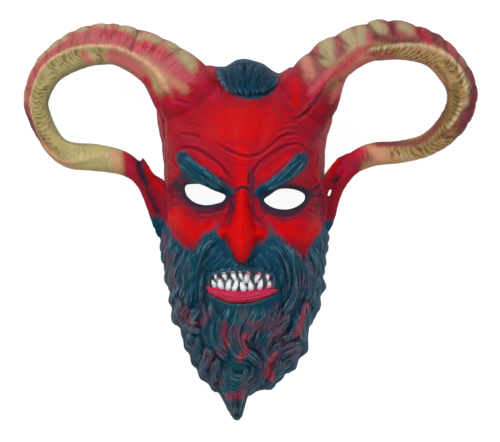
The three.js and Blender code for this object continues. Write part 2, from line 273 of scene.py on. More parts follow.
def from_middle(x, y):
    """How far a point is from the middle of the face, and how far the outline is in that direction."""
    radius = outline_radius(np.arctan2(y - MIDDLE[1], x - MIDDLE[0]))
    return np.hypot(x - MIDDLE[0], y - MIDDLE[1]), radius


def reach(x, y):
    """How far towards the rim a point is: 0 at the middle of the face and 1 on the outline."""
    away, radius = from_middle(x, y)
    return np.clip(away / radius, 0, 1)


def rim_gap(x, y):
    """How many millimetres inside the outline a point is, on the line from the middle of the face."""
    away, radius = from_middle(x, y)
    return np.maximum(radius - away, 0)


def dome(x, y):
    """The height over the rim: depth times the square root of (1 less the reach to the power 2.8)."""
    return depth_at(y) * np.sqrt(1 - reach(x, y) ** DOME_POWER)


print("the outline is", round(2 * outline_table.min()), "to", round(2 * outline_table.max()), "mm across")

# %% [markdown]
# ## The features of the face
#
# A sculptor adds clay to the bare head and takes it away, and so does this: each feature is a height on the
# plan, and they are simply added together. Soft masses such as the brow and the cheeks are bell curves. The
# nose needs a real profile, so it is a row of cross-sections: how wide, and how far it stands out, at each
# height on the face.

# %% Eyes: their outlines come first, as much else follows them
EYE_OUTLINES = [
    [(-58, 29.3), (-55.9, 31.6), (-46.6, 32.1), (-40.5, 30.3), (-32.1, 26.2), (-23.9, 23.1), (-21.8, 20.5),
     (-25.9, 15.9), (-38.3, 13.3), (-48.7, 15.4), (-55.9, 21.1), (-58, 26.2)],
    [(12.8, 18.5), (17.5, 22.1), (25.7, 27.3), (36, 27.8), (44.4, 25.7), (49, 22.1), (48, 16.9), (41.2, 11.8),
     (32, 9.4), (21.6, 10.8), (14.4, 14.9)],
]


def closed_curve(points, count):
    """curve_through for a loop: it runs on past the ends, and the middle part is kept."""
    rows = list(points)
    longer = curve_through(rows[-3:] + rows + rows[:3], 12 * count)
    step = (len(rows) + 5) / (12 * count - 1)
    keep = (3 + np.linspace(0, len(rows), count, endpoint=False)) / step
    return longer[np.round(keep).astype(int)]


def inside(points, x, y):
    """Whether points lie inside a polygon: a line to the right of each crosses its edges an odd number of
    times."""
    crossed = np.zeros(x.shape, bool)
    for (ax, ay), (bx, by) in zip(points, np.roll(points, -1, axis=0)):
        if ay != by:
            level = (ay > y) != (by > y)
            crossed ^= level & (x < ax + (y - ay) * (bx - ax) / (by - ay))
    return crossed


def distance_from(points, margin):
    """A plan of the distance outside a closed curve, negative inside it and never over the margin."""
    plan = np.full(PLAN_SIZE, margin)
    window = window_round(points, margin)
    away, _, _ = along_curve(np.vstack([points, points[:1]]), plan_x[window], plan_y[window])
    within = inside(points, plan_x[window], plan_y[window])
    plan[window] = np.where(within, -np.abs(away), np.minimum(np.abs(away), margin))
    return plan


eye_curves = [closed_curve(points, 72) for points in EYE_OUTLINES]
from_eyes = np.minimum(*[distance_from(curve, 26.0) for curve in eye_curves])
print("the eye holes are", [np.round(np.ptp(c, axis=0), 1).tolist() for c in eye_curves], "mm")

# %% Nose, brow, cheeks, mouth
NOSE_Y = [40, 27, 21, 9, 0, -9, -16, -22, -28, -32, -34.8, -36.9, -38.3]
NOSE_HALF = [6, 5, 5.6, 7.6, 9.8, 12.4, 13.2, 11, 8.4, 6.4, 4.8, 3.4, 2.4]
NOSE_RISE = [0, 2.5, 6, 13, 18, 22.5, 26, 28, 29, 28.5, 26, 16, 0]
NOSE_MIDDLE = [-8, -8, -7.6, -7.4, -7.6, -7.8, -7.8, -7.8, -7.7, -7.6, -7.5, -7.5, -7.5]
BROW_LINES = [[(-62, 54), (-52, 44), (-37, 34), (-20, 24)], [(50, 53), (38, 43), (24, 32), (6, 23)]]
MOUTH = {"x": -7.7, "half": 28.4, "top": -45.0, "bottom": -64.0}
LIP_LINE = [(-38, -60.3), (-31.5, -64.3), (-20.5, -68), (-9, -69.2), (2.5, -68), (13.5, -65.6), (23, -62.8)]


def profile(y, heights, values):
    """Reads a table of values down the face, eased between its rows."""
    order = np.argsort(heights)
    h, v = np.array(heights, float)[order], np.array(values, float)[order]
    dense = curve_through(np.stack([h, v], 1), 40 * len(h))
    return np.interp(y, dense[:, 0], dense[:, 1])


def nose(x, y):
    """Cross-sections are arches: rise times (1 less across squared) to the power 0.8. The wings are bells."""
    across = (x - profile(y, NOSE_Y, NOSE_MIDDLE)) / profile(y, NOSE_Y, NOSE_HALF)
    arch = np.clip(1 - across**2, 0, 1) ** 0.8
    bridge = np.clip(profile(y, NOSE_Y, NOSE_RISE), 0, None) * arch
    left_wing = bell(np.hypot((x + 23) / 6.6, (y + 11) / 6.0), 1)
    right_wing = bell(np.hypot((x - 9.5) / 6.4, (y + 12) / 5.6), 1)
    return np.where((y < 40) & (y > -41), bridge, 0) + 9.5 * (left_wing + right_wing)


def soft_masses(x, y):
    """The brow ridge, eye sockets, cheekbones, muzzle, chin and the middle of the forehead, as bells."""
    total = 4.0 * bell(np.hypot((x + 8) / 1.5, y - 78), 30)
    for ex, ey in ((-40, 22), (31, 18)):
        total -= 8.0 * bell(np.hypot((x - ex) / 1.4, y - ey), 14)
    total += 7.0 * bell(np.hypot(x + 58, y - 1), 18) + 7.0 * bell(np.hypot(x - 49, y + 1), 18)
    total += 4.5 * bell(np.hypot((x + 7) / 1.5, y + 52), 26) + 5.0 * bell(np.hypot((x + 7) / 1.3, y + 96), 26)
    return total


masses = soft_masses(plan_x, plan_y) + nose(plan_x, plan_y)
for line in BROW_LINES:
    stroke(masses, line, 9.0, 6.5, taper=0.2, combine=np.add)
for fold in ([(-31, 9), (-42, -3), (-48, -14), (-50, -24)], [(11, 6), (24, -5), (36, -15), (44, -24)]):
    stroke(masses, fold, 6.0, 3.0, taper=0.3, combine=np.add)
masses += 1.8 * bell(from_eyes - 2.2, 2.2) * (from_eyes > 0)  # the thickened edge of the eyelids

mouth_across = (plan_x - MOUTH["x"]) / MOUTH["half"]
mouth_top = MOUTH["top"] - 4.6 * mouth_across**2
mouth_bottom = MOUTH["bottom"] + 5.4 * mouth_across**2
mouth_open = (
    smooth(mouth_top + 1.0, mouth_top - 1.5, plan_y)
    * smooth(mouth_bottom - 1.5, mouth_bottom + 1.5, plan_y)
    * smooth(1.06, 0.94, np.abs(mouth_across))
)
masses -= 5.0 * mouth_open
print("the nose stands", round(float(nose(np.array(-7.7), np.array(-28.0))), 1), "mm off the face")

# %% [markdown]
# ## Hair and beard
#
# The sculptor rolled the beard out of wavy locks, each a bundle of strands that starts together, swells and
# runs out to a point. They could be thousands of curves, but a casting has none that stand free, so the
# locks are relief. Each lock is one guide curve down its middle and a half width. On the plan, its strands
# are arches side by side along that curve, and where locks cross, the higher one shows.

# %% Where the locks run, from their roots to their tips, each with its half width
BEARD_LOCKS = [
    ([(-77, -12), (-80, -23), (-78, -35), (-75, -48)], 5.0),
    ([(-71, -14), (-75, -28), (-74, -41), (-76, -53)], 4.6),
    ([(-65, -18), (-69, -32), (-72, -46), (-71, -58), (-72, -68)], 4.6),
    ([(-58, -23), (-62, -36), (-67, -49), (-66, -60), (-69, -71)], 4.4),
    ([(-49, -26), (-56, -39), (-60, -51), (-60, -63), (-64, -75)], 4.4),
    ([(-40, -24), (-50, -35), (-54, -49), (-54, -63), (-56, -73), (-61, -82)], 4.4),
    ([(-28, -15), (-39, -22), (-46, -37), (-49, -51), (-48, -64), (-51, -77)], 4.2),
    ([(-25, -22), (-34, -30), (-42, -42), (-45, -54), (-45, -67), (-42, -79)], 3.8),
    ([(-75, -45), (-78, -55), (-74, -66), (-71, -75)], 4.6),
    ([(-69, -58), (-71, -69), (-68, -81), (-69, -91)], 4.8),
    ([(-64, -67), (-66, -78), (-64, -89), (-59, -98)], 4.6),
    ([(-22, -26), (-31, -35), (-36, -41), (-40, -48)], 3.0),
    ([(-20, -30), (-26, -37), (-32, -42), (-35, -46)], 2.8),
    ([(-16, -32), (-22, -39), (-26, -44), (-28, -46)], 2.6),
    ([(-13, -35), (-17, -40), (-20, -44), (-22, -47)], 2.4),
    ([(-10, -38), (-13, -41), (-14, -45), (-15, -47)], 2.2),
    ([(-7, -38), (-7, -42), (-8, -45), (-8, -48)], 2.2),
    ([(-4, -37), (-3, -41), (-2, -44), (-1, -47)], 2.2), ([(-1, -35), (2, -40), (4, -44), (6, -47)], 2.4),
    ([(2, -32), (6, -38), (10, -43), (12, -46)], 2.6), ([(5, -28), (12, -35), (16, -41), (19, -46)], 2.8),
    ([(9, -24), (18, -33), (23, -40), (26, -48)], 3.0),
    ([(13, -21), (22, -30), (28, -41), (30, -53), (29, -64)], 3.8),
    ([(18, -16), (26, -27), (32, -40), (34, -53), (32, -66), (26, -77)], 4.2),
    ([(23, -17), (34, -26), (40, -40), (41, -54), (39, -68), (32, -81), (24, -91)], 4.4),
    ([(32, -24), (44, -35), (49, -48), (48, -63), (43, -77)], 4.4),
    ([(44, -33), (52, -42), (55, -54), (53, -67), (50, -79)], 4.4),
    ([(54, -21), (60, -34), (62, -48), (58, -60), (61, -71)], 4.6),
    ([(64, -15), (67, -26), (64, -37), (67, -48), (64, -60)], 4.8),
    ([(63, -60), (58, -69), (60, -81), (55, -91)], 4.8),
    ([(50, -71), (51, -82), (49, -93), (51, -103)], 4.6),
    ([(-35, -69), (-36, -80), (-33, -90), (-35, -100), (-32, -112), (-23, -122), (-18, -129)], 4.2),
    ([(-41, -71), (-40, -82), (-38, -93), (-39, -103), (-35, -113), (-29, -123)], 4.2),
    ([(-18, -76), (-21, -86), (-26, -99), (-24, -112), (-17, -123)], 4.2),
    ([(-10, -76), (-13, -89), (-18, -101), (-16, -112), (-10, -122), (0, -125)], 4.4),
    ([(-2, -76), (-5, -86), (-10, -96), (-11, -107), (-6, -118), (3, -123), (9, -132), (8, -143),
     (1, -150)], 4.6),
    ([(5, -76), (4, -86), (-1, -96), (-6, -105), (-6, -112)], 4.2),
    ([(13, -76), (12, -86), (5, -94), (0, -102), (-1, -112)], 4.2),
    ([(20, -75), (17, -88), (12, -99), (9, -110), (13, -121), (17, -132)], 4.2),
    ([(26, -73), (23, -86), (18, -96), (14, -104), (15, -112)], 4.2),
    ([(-26, -81), (-29, -91), (-30, -102), (-27, -112), (-21, -120)], 4.0),
    ([(-51, -75), (-58, -81), (-62, -89), (-56, -97), (-46, -100), (-38, -97)], 4.4),
    ([(-45, -78), (-51, -85), (-53, -91), (-46, -95)], 3.8),
    ([(-60, -98), (-55, -107), (-54, -114), (-57, -120)], 4.6),
    ([(-68, -86), (-64, -94), (-60, -103), (-59, -112)], 4.6),
    ([(-48, -101), (-49, -112), (-46, -122), (-50, -130)], 4.6),
    ([(-53, -107), (-51, -118), (-53, -127), (-48, -135)], 4.6),
    ([(-36, -111), (-38, -121), (-41, -130), (-44, -140)], 4.6),
    ([(-28, -123), (-31, -133), (-33, -143), (-30, -151)], 4.6),
    ([(-45, -129), (-43, -138), (-39, -145), (-33, -150)], 4.4),
    ([(-18, -130), (-23, -138), (-21, -147), (-10, -149), (0, -143), (3, -134), (-1, -126)], 4.6),
    ([(-14, -132), (-18, -138), (-14, -143), (-6, -142), (-4, -136), (-8, -130)], 3.8),
    ([(-26, -143), (-22, -152), (-14, -159), (-12, -170), (-12, -180)], 5.0),
    ([(1, -148), (-6, -157), (-8, -166), (-9, -177)], 4.6),
    ([(-18, -149), (-16, -157), (-13, -166), (-10, -176)], 4.4),
    ([(10, -139), (5, -147), (0, -154), (-4, -161)], 4.6),
    ([(26, -91), (19, -99), (14, -105), (13, -116), (17, -125), (23, -130)], 4.6),
    ([(34, -81), (30, -91), (21, -100), (17, -107)], 4.2),
    ([(44, -78), (45, -89), (42, -99), (36, -104), (26, -108)], 4.4),
    ([(50, -80), (51, -93), (49, -104), (46, -112)], 4.6),
    ([(50, -111), (40, -115), (31, -120), (25, -128)], 4.8),
    ([(50, -118), (42, -125), (34, -129), (30, -136), (29, -144)], 4.8),
    ([(26, -122), (28, -132), (23, -142), (19, -151)], 4.8),
    ([(12, -122), (12, -132), (9, -143), (13, -151)], 4.6),
    ([(33, -112), (24, -116), (19, -122), (21, -130)], 4.4),
    ([(40, -125), (37, -131), (30, -139), (25, -145)], 4.6),
]
BROW_LOCKS = [
    ([(-63, 58), (-52, 49.5), (-41, 40.5), (-29, 32), (-16, 23.5)], 6.2),
    ([(-65, 51), (-55, 43), (-45, 35.5), (-35, 31.5)], 3.6),
    ([(51, 59), (42, 50.5), (31, 41), (19, 32), (7, 24)], 5.8),
    ([(47, 50.5), (38, 42), (28, 34.5), (18, 29.5)], 3.4),
]


def tuft_lock(x):
    """A lock of the tuft, from its root at x on the crown down to its tip over the forehead."""
    root = (x, 128 + 18 * math.cos((x + 4) / 24))
    return [root, (0.98 * x + 1.5, 132), (0.7 * x - 2.5, 120), (0.42 * x - 1, 108 + abs(x) / 6)]


TUFT_LOCKS = [(tuft_lock(x), 5.6) for x in np.linspace(-29, 23, 7)]
print(len(BEARD_LOCKS), "locks in the beard,", len(BROW_LOCKS), "in the brows,", len(TUFT_LOCKS), "on top")

# %% Laying the locks on the plan
hair_height = np.zeros(PLAN_SIZE)
hair_across = np.zeros(PLAN_SIZE)
hair_along = np.zeros(PLAN_SIZE)
hair_tone = np.full(PLAN_SIZE, 0.5)


def lay_lock(points, half, lift, strands):
    """Each strand is an arch: its width times the square root of (1 less across squared). Its middle keeps
    its place across the lock while the lock swells and tapers, and wavers a little on the way."""
    curve = curve_through(points, 12 * len(points))
    window = window_round(curve, 1.5 * half)
    away, along, length = along_curve(curve, plan_x[window], plan_y[window])
    spread = 0.3 + 0.7 * np.sin(math.pi * np.clip(along, 0.02, 0.98) ** 0.8)
    body = lift * smooth(0, 0.22, along) * smooth(1.0, 0.8, along) * RANDOM.uniform(0.8, 1.2)
    tone = RANDOM.uniform(0, 1)
    for k in range(strands):
        place = (2 * k + 1) / strands - 1 + RANDOM.uniform(-0.1, 0.1)
        waver = 0.1 * np.sin(2 * math.pi * (along * RANDOM.uniform(1, 2) + RANDOM.uniform(0, 1)))
        starts, ends = RANDOM.uniform(-0.05, 0.12), RANDOM.uniform(0.86, 1.0)
        run_out = smooth(starts, starts + 0.12, along) * smooth(ends, ends - 0.16, along)
        width = half / strands * RANDOM.uniform(1.2, 1.7) * (0.35 + 0.65 * spread) * run_out + 0.01
        across = (away - half * (place * spread + waver)) / width
        arch = np.sqrt(np.clip(1 - across**2, 0, 1))
        height = body * (1 - 0.6 * place**2) + RANDOM.uniform(0.3, 0.75) * width * arch
        shows = (arch > 0) & (run_out > 0.05) & (height > hair_height[window])
        for plan, value in (
            (hair_height, height),
            (hair_across, away + 40 * tone),
            (hair_along, along * length + 90 * tone),
            (hair_tone, 0.75 * tone + 0.25 * RANDOM.uniform(0, 1)),
        ):
            plan[window] = np.where(shows, value, plan[window])


THICK_LOCK = 3.2  # the half width from which a lock stands well proud
for points, half in BEARD_LOCKS:  # thin hair under each lock, so that no skin shows between them
    lay_lock(points, 1.9 * half, lift=0.3, strands=12)
for points, half in BEARD_LOCKS:
    lift, count = (2.6, 9) if half > THICK_LOCK else (1.0, 5)
    lay_lock(points, 1.15 * half, lift, count)
for points, half in BROW_LOCKS:
    lay_lock(points, half, lift=1.2, strands=8)
for points, half in TUFT_LOCKS:
    lay_lock(points, half, lift=2.8, strands=6)
hair_height = mix(blur(hair_height, 1.0), hair_height, 0.7)  # a mould never takes the finest edges
print("the hair stands up to", round(float(hair_height.max()), 1), "mm proud")

# %% [markdown]
# ## Where hair ends and skin begins
#
# The painter's teal follows the sculpted hair but runs out in ragged brush marks over the cheeks. The edge
# of the beard is a line of points, and every point of the plan is asked whether it lies inside after it has
# been moved a little, at random but smoothly, which frays the edge downwards like the tips of a brush.

# %% The regions of hair
BEARD_EDGE = [
    (-95, 6), (-78.3, 2.7), (-69.3, -11.7), (-58, -24), (-52.2, -28), (-48.6, -24.3), (-42.3, -11.5),
    (-35, -10), (-31.5, -4), (-29.5, -1), (-29.5, -10), (-24, -17), (-17.5, -21.5), (-13.5, -30),
    (-10, -38), (-7.5, -40), (-5, -38), (-0.8, -27), (4.5, -21), (14, -18), (16.5, -9), (18, -4.5),
    (20.7, -9.9), (25.2, -13.5), (36, -22.5), (42.8, -27), (45, -33), (48.6, -34), (52.2, -25.2),
    (60.3, -13.5), (65.7, -1.8), (85, 4), (95, -200), (-110, -200),
]
TUFT_EDGE = [
    (-31, 150), (-31, 133), (-28, 124), (-22, 117), (-14, 111), (-2, 107), (9, 108.5), (18, 111.5), (24, 119),
    (26.5, 130), (27, 150),
]
BROW_EDGES = [
    [(-65.5, 60), (-60, 63), (-53, 57), (-44, 50), (-36, 44), (-28.5, 38.5), (-21.5, 33), (-16, 28),
     (-13, 24), (-17, 20), (-24, 22), (-31, 26), (-41, 29), (-50, 31.5), (-56, 36), (-62, 43), (-66, 52)],
    [(43, 60), (49, 61), (53.5, 55), (50, 46), (43, 39.5), (36, 34), (30, 30), (17, 24.5), (9, 19), (4, 20),
     (3, 26), (8, 31), (15, 35), (25, 42), (36, 54)],
]
fray_x = 0.9 * ripple(plan_x, plan_y, 7, 11)
fray_y = 1.5 * ripple(plan_x, 0.35 * plan_y, 4, 12)
in_beard = inside(np.array(BEARD_EDGE, float), plan_x + fray_x, plan_y + fray_y)
in_tuft = inside(np.array(TUFT_EDGE, float), plan_x + fray_x, plan_y + 0.5 * fray_y)
in_brows = np.zeros(PLAN_SIZE, bool)
for edge in BROW_EDGES:
    in_brows |= inside(np.array(edge, float), plan_x + 0.5 * fray_x, plan_y + 0.4 * fray_y)
hair = blur(in_beard | in_tuft | in_brows, 1.2)
soft_hair = np.maximum(blur(in_beard, 3.2), blur(in_tuft | in_brows, 1.4))
print("hair covers", round(float(hair.sum()) * PITCH**2 / 100), "square centimetres of the plan")

# %% The lower lip: a roll along one curve, which no hair crosses
lip_curve = curve_through(LIP_LINE, 80)
lip_window = window_round(lip_curve, 12)
lip_away, lip_along, _ = along_curve(lip_curve, plan_x[lip_window], plan_y[lip_window])
lip_half = 5.9 * np.sin(math.pi * np.clip(lip_along, 0.03, 0.97)) ** 0.42
lip_across = np.full(PLAN_SIZE, 9.0)  # 1 at the lip's edge, and far outside it to begin with
lip_across[lip_window] = lip_away / lip_half
lip_across += 0.02 * ripple(plan_x, plan_y, 6, 22)
lip = smooth(1.05, 0.9, np.abs(lip_across))
mouth = np.maximum(mouth_open, lip)
hair *= 1 - smooth(0.3, 0.8, mouth)
print("the lip is up to", round(2 * float(lip_half.max()), 1), "mm wide")

# %% [markdown]
# ## Creases
#
# A frown is a fold of skin: a groove with a soft bank on either side. Each is drawn twice along the same
# curve: a wide bell above the surface for the banks, and a narrow one below it for the groove. A depth below
# 0 turns the fold over, into a ridge.

# %% Creases: the run of each, its width and its depth
CREASES = [
    ([(-39, 74), (-28.5, 67.5), (-16.5, 61), (-4, 57), (7.5, 59), (16.5, 65.5), (25.5, 73), (34.5, 77),
     (43.5, 76.5), (48.5, 74)], 1.5, 1.6),
    ([(-60, 86), (-52.5, 86.5), (-47, 85), (-44, 82.5)], 1.1, 1.0),
    ([(-67, 78), (-57, 77.5), (-48, 75.5), (-43, 73.5)], 1.4, 1.3),
    ([(27, 82.5), (33, 86.5), (40.5, 88), (47, 86.5)], 1.2, 1.0),
    ([(21, 77), (30, 81.5), (38, 83), (45, 81.5)], 1.2, 1.0),
    ([(31.5, 69.5), (38, 72.5), (44, 72), (48.5, 69.5)], 1.3, 1.2),
    ([(-67, 59), (-62, 64), (-54, 65), (-45, 62.5), (-35.5, 56), (-25.5, 48), (-18, 38),
     (-14.5, 29)], 1.6, 1.8),
    ([(-0.5, 27), (0.5, 37.5), (6, 48), (14, 55.5), (24, 62.5), (34.5, 67.5), (43.5, 68.5), (49.5, 64.5),
     (52, 58)], 1.6, 1.8),
    ([(6, 42), (13, 51), (22.5, 58.5), (30, 63)], 1.2, 1.0),
    ([(-42, 57), (-33, 49.5), (-24, 41)], 1.1, 0.9), ([(-13.5, 49.5), (-7, 48.5), (0.5, 49.5)], 1.0, 0.7),
    ([(-14, 23.5), (-9, 28.5), (-2, 28), (0.5, 23)], 1.3, 1.3), ([(0, 30), (-1.5, 36), (0, 42)], 1.1, 0.9),
    ([(-61.5, 25.5), (-67, 28), (-71, 30.5)], 1.0, 0.9), ([(-63, 21), (-68.5, 21), (-72.5, 22)], 1.0, 0.9),
    ([(-61.5, 16), (-67, 14.5), (-71, 13.5)], 1.0, 0.9), ([(51, 25.5), (57.5, 28.5), (64.5, 33)], 1.0, 0.9),
    ([(52.5, 21), (60, 22), (66.5, 24)], 1.0, 0.9), ([(52, 16), (59.5, 14.5), (66, 13.5)], 1.0, 0.9),
    ([(48.5, 12), (55.5, 8), (63, 5.5)], 1.0, 0.8),
    ([(-54, 10), (-45, 7), (-34.5, 7), (-24, 10), (-18, 13.5)], 1.3, 1.3),
    ([(-49.5, 4.5), (-39, 2.5), (-30, 3.5), (-22.5, 7)], 1.1, 0.9),
    ([(11, 10), (19.5, 5.5), (30, 3.5), (40.5, 5.5), (48.5, 10)], 1.3, 1.3),
    ([(16.5, 3), (28.5, 0), (39, 1), (47, 4.5)], 1.1, 0.9),
    ([(-15, 18), (-17.5, 10.5), (-19.5, 3), (-24, -1)], 1.4, 1.0),
    ([(1, 18), (3, 9), (6, 1.5), (13.5, -3)], 1.4, 1.0),
    ([(-69, 107.5), (-61.5, 106), (-54, 103.5), (-48, 101)], 1.4, 1.4),
    ([(-88, 115), (-83, 100.5), (-78, 90), (-75, 83.5)], 1.3, 1.2),
    ([(-101, 53), (-99, 44), (-95, 32)], 2.6, 1.6), ([(-95, 31), (-90, 20), (-84, 10), (-81, 4)], 2, 1.3),
    ([(85, 51), (80, 40), (75, 32)], 2.2, 1.5), ([(51, 108), (52.5, 99), (45, 93), (31.5, 88.5)], 1.6, 1.4),
    ([(84, 139), (70, 124), (60, 108), (50, 97), (38, 88)], 1.6, 1.5),
    ([(80, 138), (67.5, 122), (57, 109.5), (51, 100.5)], 1.8, -1.0),
    ([(56, 148), (58, 141), (64, 135), (71, 133)], 1.6, 1.6),
    ([(76, 162), (80, 155), (84, 151.5), (90, 151)], 1.6, 1.4), ([(-28.5, 129), (-24, 109.5)], 1.4, 0.8),
    ([(-62, 111), (-77, 117), (-84, 131)], 2, -1.0), ([(-74, 107), (-63, 106), (-54, 103)], 1.6, 1.4),
    ([(-84, 126), (-82, 106), (-78, 88), (-76, 60)], 1.5, 1.2),
    ([(-30, 64), (-18, 57), (-8, 53)], 1.0, 0.8), ([(-34, 79), (-24, 72), (-14, 66.5), (-6, 64)], 0.9, 0.6),
    ([(8, 62), (17, 70), (25, 77)], 0.9, 0.7), ([(-74.5, 105), (-75, 60), (-74, 20), (-72, -8)], 1.6, -0.9),
    ([(54, 50), (65, 29), (69, 14), (67, 0), (60, -18)], 1.6, -0.8),
    ([(-60, 44), (-66, 50), (-70, 58)], 1.2, 0.7), ([(56, 44), (60, 54), (60, 64)], 1.2, 0.7),
    ([(-62, 33), (-69, 36)], 0.9, 0.8), ([(52, 30), (60, 37), (65, 41)], 0.9, 0.8),
    ([(52, 11), (60, 3)], 0.9, 0.7),
]
creases = np.zeros(PLAN_SIZE)
for points, width, depth in CREASES:
    stroke(creases, points, 2.8 * width, 0.7 * depth, combine=np.add)
    stroke(creases, points, 1.15 * width, -1.5 * depth, combine=np.add)
creases *= 1 - 0.8 * hair
creases *= smooth(0.5, 2.5, from_eyes)
print(len(CREASES), "creases, the deepest", round(float(-creases.min()), 1), "mm")

# %% All the relief of the front, split into broad and fine
thick_hair = blur(in_beard, 3.0)
lip_roll = np.sqrt(np.clip(1 - lip_across**2, 0, 1))
lip_lines = 0.5 * np.sin(2 * math.pi * (2.2 * lip_across + 0.3 * ripple(plan_x, 2 * plan_y, 15, 21)))
relief = 4.6 * thick_hair * (1 - smooth(0.2, 0.9, mouth)) + hair * hair_height + creases
relief += 2.0 * blur(in_tuft, 2.0) + 1.4 * blur(in_brows, 1.5)
relief += lip * (6.0 * lip_roll + lip_lines * lip_roll)
even_relief = blur(relief, 1.0)
broad = masses + even_relief
fine = np.clip(relief - even_relief, -1.4, None)
# shade_map is painted shade where the relief dips below its surroundings, light_map a painted highlight where
# it rises above them
shade_map = np.clip(blur(relief, 2.4) - relief, 0, None)
light_map = np.clip(relief - blur(relief, 1.6), 0, None)
print("fine relief is", round(float(fine.min()), 2), "to", round(float(fine.max()), 2), "mm")

# %% [markdown]
# ## The head as a closed surface
#
# The dome could be made in polar rings, but those crowd together at the middle of the face. Here a square
# grid is bent into a disc and the disc is stretched to the outline, so the mesh is even all over. The grid
# crowds towards the rim instead, where the dome is steep. A few millimetres below the rim it is closed by a
# flat bottom, which is cut away later.

# %% The head
BELOW = 6.0  # how far the closed surface reaches under the rim
LEAST_HEIGHT = 0.3  # how low the dome may come at its edge


def square_to_disc(cells):
    """u and v run over a square. The disc's x is u times the square root of (1 less half of v squared)."""
    u, v = np.meshgrid(np.linspace(-1, 1, cells + 1), np.linspace(-1, 1, cells + 1))
    disc_x, disc_y = u * np.sqrt(1 - v**2 / 2), v * np.sqrt(1 - u**2 / 2)
    return np.clip(np.hypot(disc_x, disc_y), 0, 1), np.arctan2(disc_y, disc_x)


def grid_faces(rows, columns, close_columns=False):
    """The four corners of every cell of a grid of points, anticlockwise seen from above."""
    cells_across = columns if close_columns else columns - 1
    i, j = np.meshgrid(np.arange(rows - 1), np.arange(cells_across), indexing="ij")
    a = i * columns + j
    b = i * columns + (j + 1) % columns
    return np.stack([a, b, b + columns, a + columns], -1).reshape(-1, 4)


def lidded_dome(name, cells, radius, height, bottom):
    """A closed surface: height over the disc, a skirt down from its edge, and a fan underneath."""
    disc, turn = square_to_disc(cells)
    away = (1 - (1 - disc) ** 1.35) * radius(turn)
    x, y = MIDDLE[0] + away * np.cos(turn), MIDDLE[1] + away * np.sin(turn)
    z = np.maximum(height(x, y), LEAST_HEIGHT)
    side = cells + 1
    border = np.concatenate([
        np.arange(side), side * np.arange(2, side + 1) - 1,
        side**2 - 1 - np.arange(1, side), side * np.arange(side - 2, 0, -1),
    ])
    top = np.stack([x, y, z], -1).reshape(-1, 3)
    top[border, 2] = LEAST_HEIGHT
    low_edge = top[border] * [1, 1, 0] + [0, 0, bottom]
    centre = np.array([[MIDDLE[0], MIDDLE[1], bottom]])
    n, m = len(top), len(border)
    k = np.arange(m)
    after = (k + 1) % m
    skirt = np.stack([border[after], border[k], n + k, n + after], -1)
    fan = np.stack([np.full(m, n + m), n + after, n + k], -1)
    faces = [*grid_faces(side, side).tolist(), *skirt.tolist(), *fan.tolist()]
    return mesh_object(name, np.vstack([top, low_edge, centre]), faces)


def front(x, y):
    """The dome with its broad relief, which fades towards the rim."""
    return dome(x, y) + read_plan(broad, x, y) * smooth(0, 5, rim_gap(x, y))


FACE_CELLS = 280
head = lidded_dome("head", FACE_CELLS, outline_radius, front, -BELOW)
print("the head has", len(head.data.polygons), "faces")

# %% [markdown]
# ## The horns
#
# A ram's horn is a cone wound into a loop and ribbed by its yearly growth. It could be a curve with a bevel,
# but the ribs, the keel and the flat inner side belong to certain directions round the horn, so it is a
# profile carried along a path: the path is a smooth curve through the rows of a table, and the profile is a
# flattened circle that swells at the keel and between one growth groove and the next.

# %% The horns: x, y, z of the middle, the width, and how far across it the keel runs
LEFT_HORN = [
    (-50, 96, 38, 50, 0.25), (-60, 117, 50, 60, 0.28), (-82.5, 140.5, 58, 45.5, 0.36),
    (-113, 155.3, 61, 37, 0.42), (-137, 157, 61, 36.5, 0.46), (-160, 149.5, 59, 33.5, 0.58),
    (-181, 134, 55, 27.5, 0.66), (-192, 110, 49, 23, 0.68), (-188.8, 91.5, 44, 21, 0.78),
    (-177, 69, 39, 20, 0.85), (-162, 58.5, 35, 24, 0.75), (-138, 56.2, 32, 24.5, 0.45),
    (-117, 52, 28, 22, 0.3), (-104.5, 44.5, 25, 18, 0.3), (-97.5, 33, 23, 11, 0.3), (-91.5, 18, 21, 9, 0.3),
    (-87, 5, 19, 9, 0.3), (-83, -7, 17, 8, 0.3), (-79.5, -16, 15, 4, 0.3),
]
RIGHT_HORN = [
    (46, 94, 38, 50, 0.3), (54, 113, 49, 55, 0.32), (71.5, 140, 58, 41, 0.42), (97.5, 155.7, 61, 34.5, 0.5),
    (119, 161, 61, 36, 0.52), (143, 159, 60, 32.5, 0.58), (167, 150, 57, 29, 0.66), (186, 128, 52, 28, 0.68),
    (190.5, 108, 48, 27, 0.62), (181, 86, 43, 25, 0.5), (160, 68, 38, 21, 0.38), (134, 61.3, 34, 20.5, 0.3),
    (113, 59.5, 30, 21.3, 0.27), (98, 54, 27, 20, 0.27), (88.5, 45.5, 24, 17, 0.27), (80.5, 30, 22, 11, 0.27),
    (76, 14, 20, 8.5, 0.27), (73.5, 2, 18, 7.5, 0.27), (70.5, -10, 16, 4, 0.27),
]
LEFT_GROOVES = [  # where the growth grooves cut the outer edge
    (-62, 155), (-77, 162), (-101, 168), (-116, 174), (-127, 175), (-143, 173), (-157, 169.5),
    (-170, 163), (-181, 152), (-194, 139), (-202, 122), (-203, 106), (-201, 93), (-190, 70),
]
RIGHT_GROOVES = [
    (54, 151), (77, 163), (105, 174), (124, 177), (149, 172.5), (163, 167), (175, 162), (187, 151),
    (196, 139), (203, 122), (204, 105), (196, 87), (187, 75),
]
GROOVE_SKEW = 8.0  # how many millimetres a groove lags at the front
FLATNESS = 0.86  # a horn's thickness over its width
HORN_SAMPLES = 600


